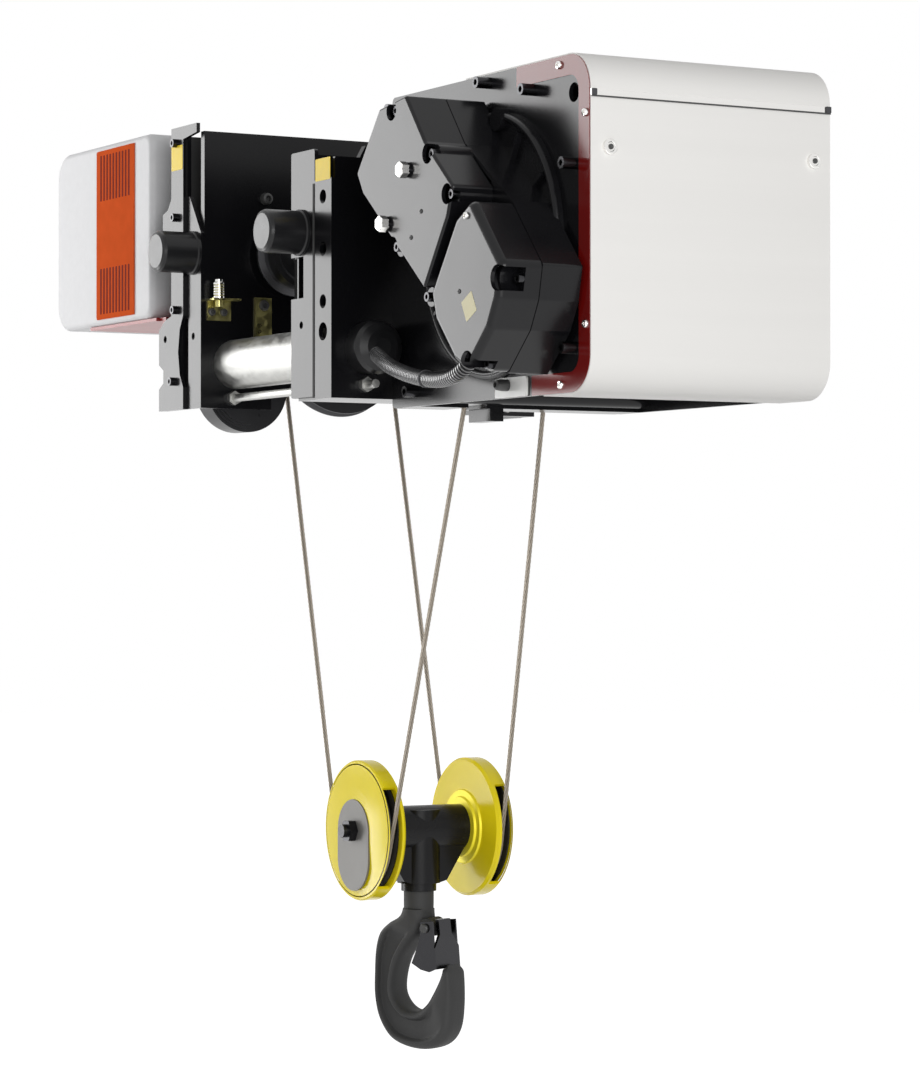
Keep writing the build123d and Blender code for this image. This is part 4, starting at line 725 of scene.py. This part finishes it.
class HOIST_OT_hook(Operator):
    """Forges the hook: round shank, recessed sides, rounded rim and tip, with the latch pin and its heads"""

    bl_idname = "hoist.hook"
    bl_label = "Forge the hook"

    def execute(self, context):
        stations = smooth_rows([[*outer, *inner] for outer, inner in HOOK_STATIONS], HOOK_SMOOTH) / 1000
        across, thick = hook_plane()
        share = np.linspace(0, 1, len(stations))
        outer = stations[:, :2]
        inner = stations[:, 2:]
        tip = soft_step(share, TIP_START, 1.0)
        middle_line = (outer + inner) / 2
        half = (outer - inner) / 2 * (1 - TIP_NARROW * tip)[:, None]
        body = soft_step(share, BODY_START, BODY_FULL)
        power = 1 - SQUARENESS * body
        angle = np.linspace(0, 2 * math.pi, 72, endpoint=False)[None, :]
        flat = np.sign(np.cos(angle)) * np.abs(np.cos(angle)) ** power[:, None]
        deep = np.sign(np.sin(angle)) * np.abs(np.sin(angle)) ** power[:, None]
        recess = (soft_step(share, RECESS_START, RECESS_FULL)
                  * (1 - soft_step(share, RECESS_FADE, RECESS_END)))
        groove = recess[:, None] * (1 - soft_step(np.abs(flat), 0.42, 0.66))
        round_half = np.linalg.norm(outer - inner, axis=1) / 2
        full_half = sizes().hook_half
        depth = np.where(share < BODY_START, round_half, full_half) * (1 - body) + full_half * body
        depth = depth * (1 - TIP_THIN * tip) * (1 - 0.14 * soft_step(share, 0.72, 0.97))
        y = depth[:, None] * deep * (1 - RECESS_DEPTH * groove)
        u = middle_line[:, :1] + half[:, :1] * flat
        z = middle_line[:, 1:] + half[:, 1:] * flat
        rings = u[..., None] * across + z[..., None] * np.array(UP) + y[..., None] * thick
        piece = put_mesh("forged_hook", rings[:, ::-1], closed_rings(rings), "hook_forged", "hook",
                         50.0)
        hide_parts("hook")
        self.pin(across, thick)
        return {"FINISHED"}

    def pin(self, across, thick):
        """Ear on the neck, pin through it, and a round head at each end."""
        place = np.array(joint_named("latch_hinge")["pos_m"])
        ear = [(0.004, -0.018), (0.013, -0.018), (0.0145, -0.0165), (0.0145, 0.0165), (0.013, 0.018),
               (0.004, 0.018)]
        turned("latch_ear", place - 0.009 * across, thick, ear, "hook_forged", "hook")
        shank, head = 0.004, 0.007
        reach = sizes().hook_half + 0.004
        foot, rim, top = reach + 0.0005, reach + 0.0035, reach + 0.005
        bolt = [(0.0005, -top), (0.0055, -top), (head, -rim), (head, -foot), (shank, -foot), (shank, foot),
                (head, foot), (head, rim), (0.0055, top), (0.0005, top)]
        turned("latch_bolt", place, thick, bolt, "fastener_black", "hook")


# ---- fittings ----
class HOIST_OT_tags(Operator):
    """Sticks on the blank tags: a cream diamond on the brake cover and two yellow tags on the flanges"""

    bl_idname = "hoist.tags"
    bl_label = "Stick the blank tags"

    def execute(self, context):
        thick = sizes().tag
        cover_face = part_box("brake_cover")[0].y
        drum = middle("drum_housing_near")
        turn = math.radians(28)
        plate("blank_diamond", (drum.x + 0.156, cover_face, drum.z - 0.099),
              (math.cos(turn), 0, math.sin(turn)), (-math.sin(turn), 0, math.cos(turn)),
              (0.030, 0.030, 0.002), thick, "tag_cream", "frame")
        channel_low, channel_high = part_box("mid_channel")
        plate("blank_channel_tag", (channel_high.x - 0.026, channel_low.y, channel_high.z - 0.016), RIGHT,
              UP, (0.046, 0.032, 0.002), thick, "tag_yellow", "frame")
        strip_low, strip_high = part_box("cheek_strips")
        plate("blank_strip_tag", (strip_low.x + 0.066, strip_low.y, strip_high.z - 0.047), RIGHT, UP,
              (0.040, 0.038, 0.002), thick, "tag_yellow", "frame")
        return {"FINISHED"}


# Buttons of the drum cover: inset from its ends, height and radius.
BUTTON_INSET = 0.028
BUTTON_HEIGHT = 0.119
BUTTON_RADIUS = 0.0102


def cover_button(name, place, axis, radius):
    """Round cover button: a bright dome ring, a dark recess and a small centre."""
    ring = [(0.001, 0.0), (radius, 0.0), (radius, 0.0050), (radius * 0.92, 0.0058), (radius * 0.66, 0.0060),
            (radius * 0.58, 0.0050), (0.001, 0.0048)]
    turned(name + "_ring", place, axis, ring, "steel_bright", "frame", 56)
    core = [(0.0005, 0.0), (radius * 0.36, 0.0), (radius * 0.36, 0.0010), (radius * 0.22, 0.0012),
            (0.0005, 0.0004)]
    turned(name + "_core", np.asarray(place) + np.asarray(axis) * 0.0049, axis, core, "fastener_black",
           "frame", 40)


class HOIST_OT_buttons(Operator):
    """Sets the two round buttons into the side of the drum cover"""

    bl_idname = "hoist.buttons"
    bl_label = "Set the cover buttons"

    def execute(self, context):
        low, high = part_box("drum_cover")
        for name, y in (("near_button", low.y + BUTTON_INSET), ("far_button", high.y - BUTTON_INSET)):
            cover_button(name, (high.x, y, BUTTON_HEIGHT), RIGHT, BUTTON_RADIUS)
        return {"FINISHED"}


def pan_screw(name, place, axis, radius, height, material="steel_bright"):
    """Small round-headed screw: a domed head with a socket in its middle."""
    profile = [(0.0004, 0.0), (radius, 0.0), (radius, height * 0.5), (radius * 0.85, height * 0.9),
               (radius * 0.5, height), (radius * 0.42, height * 0.45), (0.0004, height * 0.4)]
    turned(name, place, axis, profile, material, "frame", 24)


# Places about the drum axis, as (x, z).
OIL_PLUGS = ((-0.011, 0.098), (-0.069, 0.030))
COVER_SCREWS = ((0.026, 0.039), (-0.002, 0.006), (0.130, -0.076))
# Screws of the edging strip, as (x, z).
EDGE_SCREWS = ((0.746, 0.234), (0.8125, 0.164), (0.8125, -0.113), (0.750, -0.190))
# Black plates behind the slot and the top gap of the left plate's flanges, painted shade together with the
# black parts seen through the gaps: name, x, lower and upper end, depth.
FLANGE_GAP_SHADES = (("slot", -0.2225, -0.156, -0.040, 0.018), ("top", -0.2042, 0.086, 0.236, 0.030))
# Slots of the band: how many side by side, and their height, pitch and width as shares of the band's
# height, of its width and of the pitch.
BAND_SLOTS = 10
SLOT_TALL = 0.27
SLOT_PITCH = 0.083
SLOT_WIDE = 0.46
SLOT_MARGIN = 0.008
SKIN = 0.0008
THREAD_TURNS = 5


class HOIST_OT_fittings(Operator):
    """Sets the small screws, oil plugs, tab, seam stops, flange gap shade plates, sensor sleeve, band slots and
    far boss
    """

    bl_idname = "hoist.fittings"
    bl_label = "Set the small fittings"

    def execute(self, context):
        self.gear_unit()
        self.cheek()
        self.edging()
        self.seam()
        self.sensor()
        self.band()
        self.far_cover()
        return {"FINISHED"}

    def gear_unit(self):
        """Two bright hexagonal oil plugs and the tiny screws of the covers, placed about the drum axis."""
        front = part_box("gear_cover")[0].y
        drum = middle("drum_housing_far")
        plug = [(0.001, 0.003), (0.0113, 0.003), (0.0113, 0.0130), (0.0098, 0.0146), (0.001, 0.0148)]
        for k, (x, z) in enumerate(OIL_PLUGS):
            turned("oil_plug_%d" % k, (drum.x + x, front, drum.z + z), NEAR, plug, "steel_bright", "frame",
                   6)
        for k, (x, z) in enumerate(COVER_SCREWS):
            pan_screw("cover_screw_%d" % k, (drum.x + x, front, drum.z + z), NEAR, 0.0032, 0.0016,
                      "fastener_black")
        pan_screw("corner_screw", (drum.x + 0.150, front + 0.002, drum.z + 0.022), NEAR, 0.0050, 0.0060)

    def edging(self):
        """Four screws on the red edging and the plate, and the bright tab with its long black screw."""
        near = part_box("edge_trim")[0].y
        for k, (x, z) in enumerate(EDGE_SCREWS):
            pan_screw("edge_screw_%d" % k, (x, near, z), NEAR, 0.0056, 0.0042)
        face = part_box("end_plate_near")[0].y - 0.0001
        plate("bright_tab", (0.620, face, -0.187), RIGHT, UP, (0.084, 0.027, 0.003), 0.0030,
              "tag_white", "frame")
        pan_screw("tab_screw", (0.612, face - 0.0028, -0.184), NEAR, 0.0080, 0.0200, "fastener_black")

    def seam(self):
        """Dark line under the cover's bright strip, the painted shade of its groove, with a black stop at each
        of its ends.
        """
        low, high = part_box("cover_seam_strip")
        # A flat black strip: painted shade of the groove under the strip.
        plate("seam_groove_shade", (high.x - 0.0003, (low.y + high.y) / 2, low.z - 0.0012), ALONG, UP,
              (high.y - low.y, 0.0022, 0.0004), 0.0004, "fastener_black", "frame", 0.0001)
        for k, y in enumerate((low.y + 0.004, high.y - 0.004)):
            plate("seam_stop_%d" % k, (high.x - 0.0002, y, (low.z + high.z) / 2), ALONG, UP,
                  (0.008, 0.0085, 0.001), 0.0016, "plastic_black", "frame")

    def cheek(self):
        """Painted shade: dark strips in the gap between middle plate and channel and in the plate's notch, and
        thin black plates behind the left plate's near and far flanges, beside the slot and the top, that stand
        in for the shade together with the black parts seen through these gaps."""
        low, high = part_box("mid_channel")
        # Thin dark strips over the joint of middle plate and channel: painted shade of the gap between them.
        for k, y in enumerate((low.y, high.y)):
            plate("channel_gap_shade_%d" % k, (high.x - 0.0545, y, (low.z + high.z) / 2 - 0.016), RIGHT, UP,
                  (0.005, high.z - low.z - 0.036, 0.0005), 0.0007, "rubber_black", "frame",
                  0.0001)
        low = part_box("mid_cheek")[0]
        # A dull black strip in the plate's notch: painted shade.
        plate("notch_shade", (low.x + 0.0032, low.y + 0.006, -0.010), RIGHT, UP,
              (0.0068, 0.058, 0.0005), 0.0006, "painted_shade_black", "frame", 0.0001)
        face = -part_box("cheek_strips")[0].y - 0.0125
        for k, side in enumerate((-1.0, 1.0)):
            for part, x, bottom, top, depth in FLANGE_GAP_SHADES:
                # Black plates close the gaps beside the slot and the top: painted shade, with the black parts
                # behind.
                plate("flange_gap_shade_%s_%d" % (part, k), (x, side * (face - depth / 2), (bottom + top) / 2), ALONG, UP,
                      (depth, top - bottom, 0.001), 0.0012, "housing_black", "frame", 0.0001)

    def sensor(self):
        """Threaded bright sleeve of the travel sensor, and the screws of its bracket, strap and plate."""
        low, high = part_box("limit_sensor")
        x, y = low.x + 0.014, low.y + 0.014
        shelf = high.z - 0.029
        profile = [(0.002, shelf), (0.0092, shelf)]
        for k in range(THREAD_TURNS):
            z = shelf + 0.003 + 0.004 * k
            profile += [(0.0092, z), (0.0084, z + 0.0008), (0.0084, z + 0.0016), (0.0092, z + 0.0024)]
        profile += [(0.0092, high.z - 0.005), (0.0070, high.z - 0.0035), (0.0070, high.z),
                    (0.002, high.z + 0.0004)]
        turned("sensor_sleeve", (x, y, 0), UP, profile, "steel_bright", "frame", 40, 25.0)
        face = low.x + 0.0025
        for k, across in enumerate((0.007, 0.027)):
            pan_screw("bracket_screw_%d" % k, (face, low.y + across, shelf - 0.020), RIGHT, 0.0062, 0.0050,
                      "fastener_black")
        pan_screw("strap_screw", (low.x + 0.004, high.y - 0.014, shelf - 0.007), RIGHT, 0.0085, 0.0050,
                  "fastener_black")
        pan_screw("side_screw", (low.x, -0.186, 0.141), RIGHT, 0.0095, 0.0110, "fastener_black")

    def band(self):
        """Smooth face of the control box's band, with ten upright slots at its top and ten at its foot, each slot
        a thin dark plate, the painted shade of its opening.
        """
        low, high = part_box("box_band")
        face = low.y
        centre = (low + high) / 2
        plate("band_face", (centre.x, face, centre.z), RIGHT, UP, (high.x - low.x, high.z - low.z, 0.004),
              SKIN, "band_skin", "frame", 0.0003)
        tall = (high.z - low.z) * SLOT_TALL
        pitch = (high.x - low.x) * SLOT_PITCH
        slit = (pitch * SLOT_WIDE, tall, 0.001)
        upper = high.z - SLOT_MARGIN - tall / 2
        lower = low.z + SLOT_MARGIN + tall / 2
        for k in range(2 * BAND_SLOTS):
            x = centre.x + (k % BAND_SLOTS - (BAND_SLOTS - 1) / 2) * pitch
            z = upper if k < BAND_SLOTS else lower
            # Each slot is a flat dark plate: the painted shade of its opening.
            plate("band_slot_%d" % k, (x, face - SKIN, z), RIGHT, UP, slit, 0.0002, "band_shadow", "frame",
                  0.0001)

    def far_cover(self):
        """Stepped round boss on the inner face of the far sheave cover, round the end of the crosshead."""
        low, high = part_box("sheave_cover_far")
        profile = [(0.036, -0.0005), (0.058, -0.0005), (0.056, 0.0030), (0.047, 0.0034), (0.045, 0.0066),
                   (0.036, 0.0070)]
        turned("stepped_boss", (0, low.y, (low.z + high.z) / 2), NEAR, profile, "block_yellow", "hook_block",
               96)


# ---- finishes on the CAD pieces ----
class HOIST_OT_finishes(Operator):
    """Makes the finishes and gives each CAD piece the finish of its slot"""

    bl_idname = "hoist.finishes"
    bl_label = "Paint the CAD pieces"

    def execute(self, context):
        made = make_finishes()
        for node, piece in frame["nodes"].items():
            piece.data.materials.clear()
            piece.data.materials.append(made[SLOT_OF[node]])
        return {"FINISHED"}


# ---- stage ----
CAMERA_PLACE = (4.8231, -2.6564, -0.4545)
CAMERA_TURN = (90.66, 0.0, 60.5)
CAMERA_LENS = 119.2
FLOOR_DROP = 0.55
FLOOR_REACH = 30.0
FLOOR_SIDES = 96
# Strength of the surroundings as a light, where the camera sees them at 1.
SHADE = 0.34


def seen_ray(tree):
    """1 on rays that the camera sees straight, in a mirror or through glass, 0 on rays that carry light."""
    path = tree.nodes.new("ShaderNodeLightPath")
    seen = maths(tree, "MAXIMUM", path.outputs["Is Camera Ray"], path.outputs["Is Glossy Ray"])
    return maths(tree, "MAXIMUM", seen, path.outputs["Is Transmission Ray"])


def stage_material(name, base, extra):
    """Pale matt surface that the camera sees a little lighter than it is, so that its shadows stay."""
    material = bpy.data.materials.new(name)
    material.use_nodes = True
    tree = material.node_tree
    shader = tree.nodes["Principled BSDF"]
    shader.inputs["Roughness"].default_value = 0.9
    shader.inputs["Specular IOR Level"].default_value = 0.0
    shader.inputs["Base Color"].default_value = (*base, 1)
    shader.inputs["Emission Color"].default_value = (1, 1, 1, 1)
    tree.links.new(maths(tree, "MULTIPLY", seen_ray(tree), extra), shader.inputs["Emission Strength"])
    return material


def soft_light(name, place, target, size, power):
    """Rectangular area light that faces its target."""
    light = bpy.data.lights.new(name, "AREA")
    light.shape = "RECTANGLE"
    light.size, light.size_y = size
    light.energy = power
    holder = added(name, light)
    holder.location = place
    holder.rotation_euler = (Vector(target) - Vector(place)).to_track_quat("-Z", "Y").to_euler()


class HOIST_OT_stage(Operator):
    """Sets the camera, the pale floor, the soft lights and the white surroundings"""

    bl_idname = "hoist.stage"
    bl_label = "Set the stage"

    def execute(self, context):
        scene = context.scene
        camera = bpy.data.cameras.new("camera")
        camera.lens = CAMERA_LENS
        camera.sensor_width = 36.0
        camera.clip_end = 60.0
        holder = added("camera", camera)
        holder.location = CAMERA_PLACE
        holder.rotation_euler = Euler([math.radians(a) for a in CAMERA_TURN])
        scene.camera = holder
        scene.view_settings.view_transform = "Standard"
        self.floor()
        self.lights()
        self.surroundings(scene)
        return {"FINISHED"}

    def floor(self):
        """Large round floor well below the hook."""
        z = Vector(START_BOX[0]).z - FLOOR_DROP
        angle = np.linspace(0, 2 * math.pi, FLOOR_SIDES, endpoint=False)
        radii = np.array([0.02, FLOOR_REACH])
        rings = np.stack([radii[:, None] * np.cos(angle), radii[:, None] * np.sin(angle),
                          np.full((2, FLOOR_SIDES), z)], -1)
        faces = grid_faces(2, FLOOR_SIDES) + [list(range(FLOOR_SIDES))]
        mesh = bpy.data.meshes.new("floor")
        mesh.from_pydata(rings.reshape(-1, 3).tolist(), [], faces)
        mesh.materials.append(stage_material("floor_pale", (0.80, 0.80, 0.80), 0.86))
        piece = added("floor", mesh)

    def lights(self):
        """Softboxes: one that the near faces reflect, one low down for the hook block, one for the cover and
        one above."""
        soft_light("side_softbox", (-2.33, -1.65, 0.32), (0.3, -0.25, 0.05), (1.6, 1.5), 38)
        soft_light("cover_softbox", (3.6, -1.0, 0.0), (0.8, 0.0, 0.0), (2.0, 1.6), 66)
        soft_light("low_softbox", (-2.3, -1.75, -1.30), (0.0, 0.0, -0.9), (0.7, 1.0), 15)
        soft_light("top_softbox", (-1.4, -0.6, 3.0), (-0.2, 0, 0), (1.6, 1.6), 7)

    def surroundings(self, scene):
        """White surroundings as the camera and reflections see them, and a dimmer light on the pieces."""
        world = bpy.data.worlds.new("surroundings")
        scene.world = world
        world.use_nodes = True
        tree = world.node_tree
        back = tree.nodes["Background"]
        back.inputs["Color"].default_value = (1, 1, 1, 1)
        strength = maths(tree, "ADD", maths(tree, "MULTIPLY", seen_ray(tree), 1 - SHADE), SHADE)
        tree.links.new(strength, back.inputs["Strength"])


class HOIST_PT_panel(Panel):
    """Lists the steps and the values that they use"""

    bl_label = "Wire rope hoist"
    bl_idname = "HOIST_PT_panel"
    bl_space_type = "VIEW_3D"
    bl_region_type = "UI"
    bl_category = "Hoist"

    def draw(self, context):
        for group in (context.scene.hoist_sizes, context.scene.hoist_colours):
            column = self.layout.column(align=True)
            for key in group.__annotations__:
                column.prop(group, key)
        for step in STEPS:
            self.layout.operator(step.bl_idname)


STEPS = (HOIST_OT_finishes, HOIST_OT_ropes, HOIST_OT_conduit, HOIST_OT_hook, HOIST_OT_tags, HOIST_OT_buttons,
         HOIST_OT_fittings, HOIST_OT_stage)
CLASSES = (HoistSizes, HoistColours, *STEPS, HOIST_PT_panel)


def register():
    """Adds the panel, the steps and their values to Blender."""
    for item in CLASSES:
        bpy.utils.register_class(item)
    bpy.types.Scene.hoist_sizes = PointerProperty(type=HoistSizes)
    bpy.types.Scene.hoist_colours = PointerProperty(type=HoistColours)


def unregister():
    """Takes away what register added."""
    del bpy.types.Scene.hoist_colours
    del bpy.types.Scene.hoist_sizes
    for item in reversed(CLASSES):
        bpy.utils.unregister_class(item)


def main():
    """Runs every step in order."""
    register()
    bpy.ops.hoist.finishes()
    bpy.ops.hoist.ropes()
    bpy.ops.hoist.conduit()
    bpy.ops.hoist.hook()
    bpy.ops.hoist.tags()
    bpy.ops.hoist.buttons()
    bpy.ops.hoist.fittings()
    bpy.ops.hoist.stage()


if __name__ == "__main__":
    main()
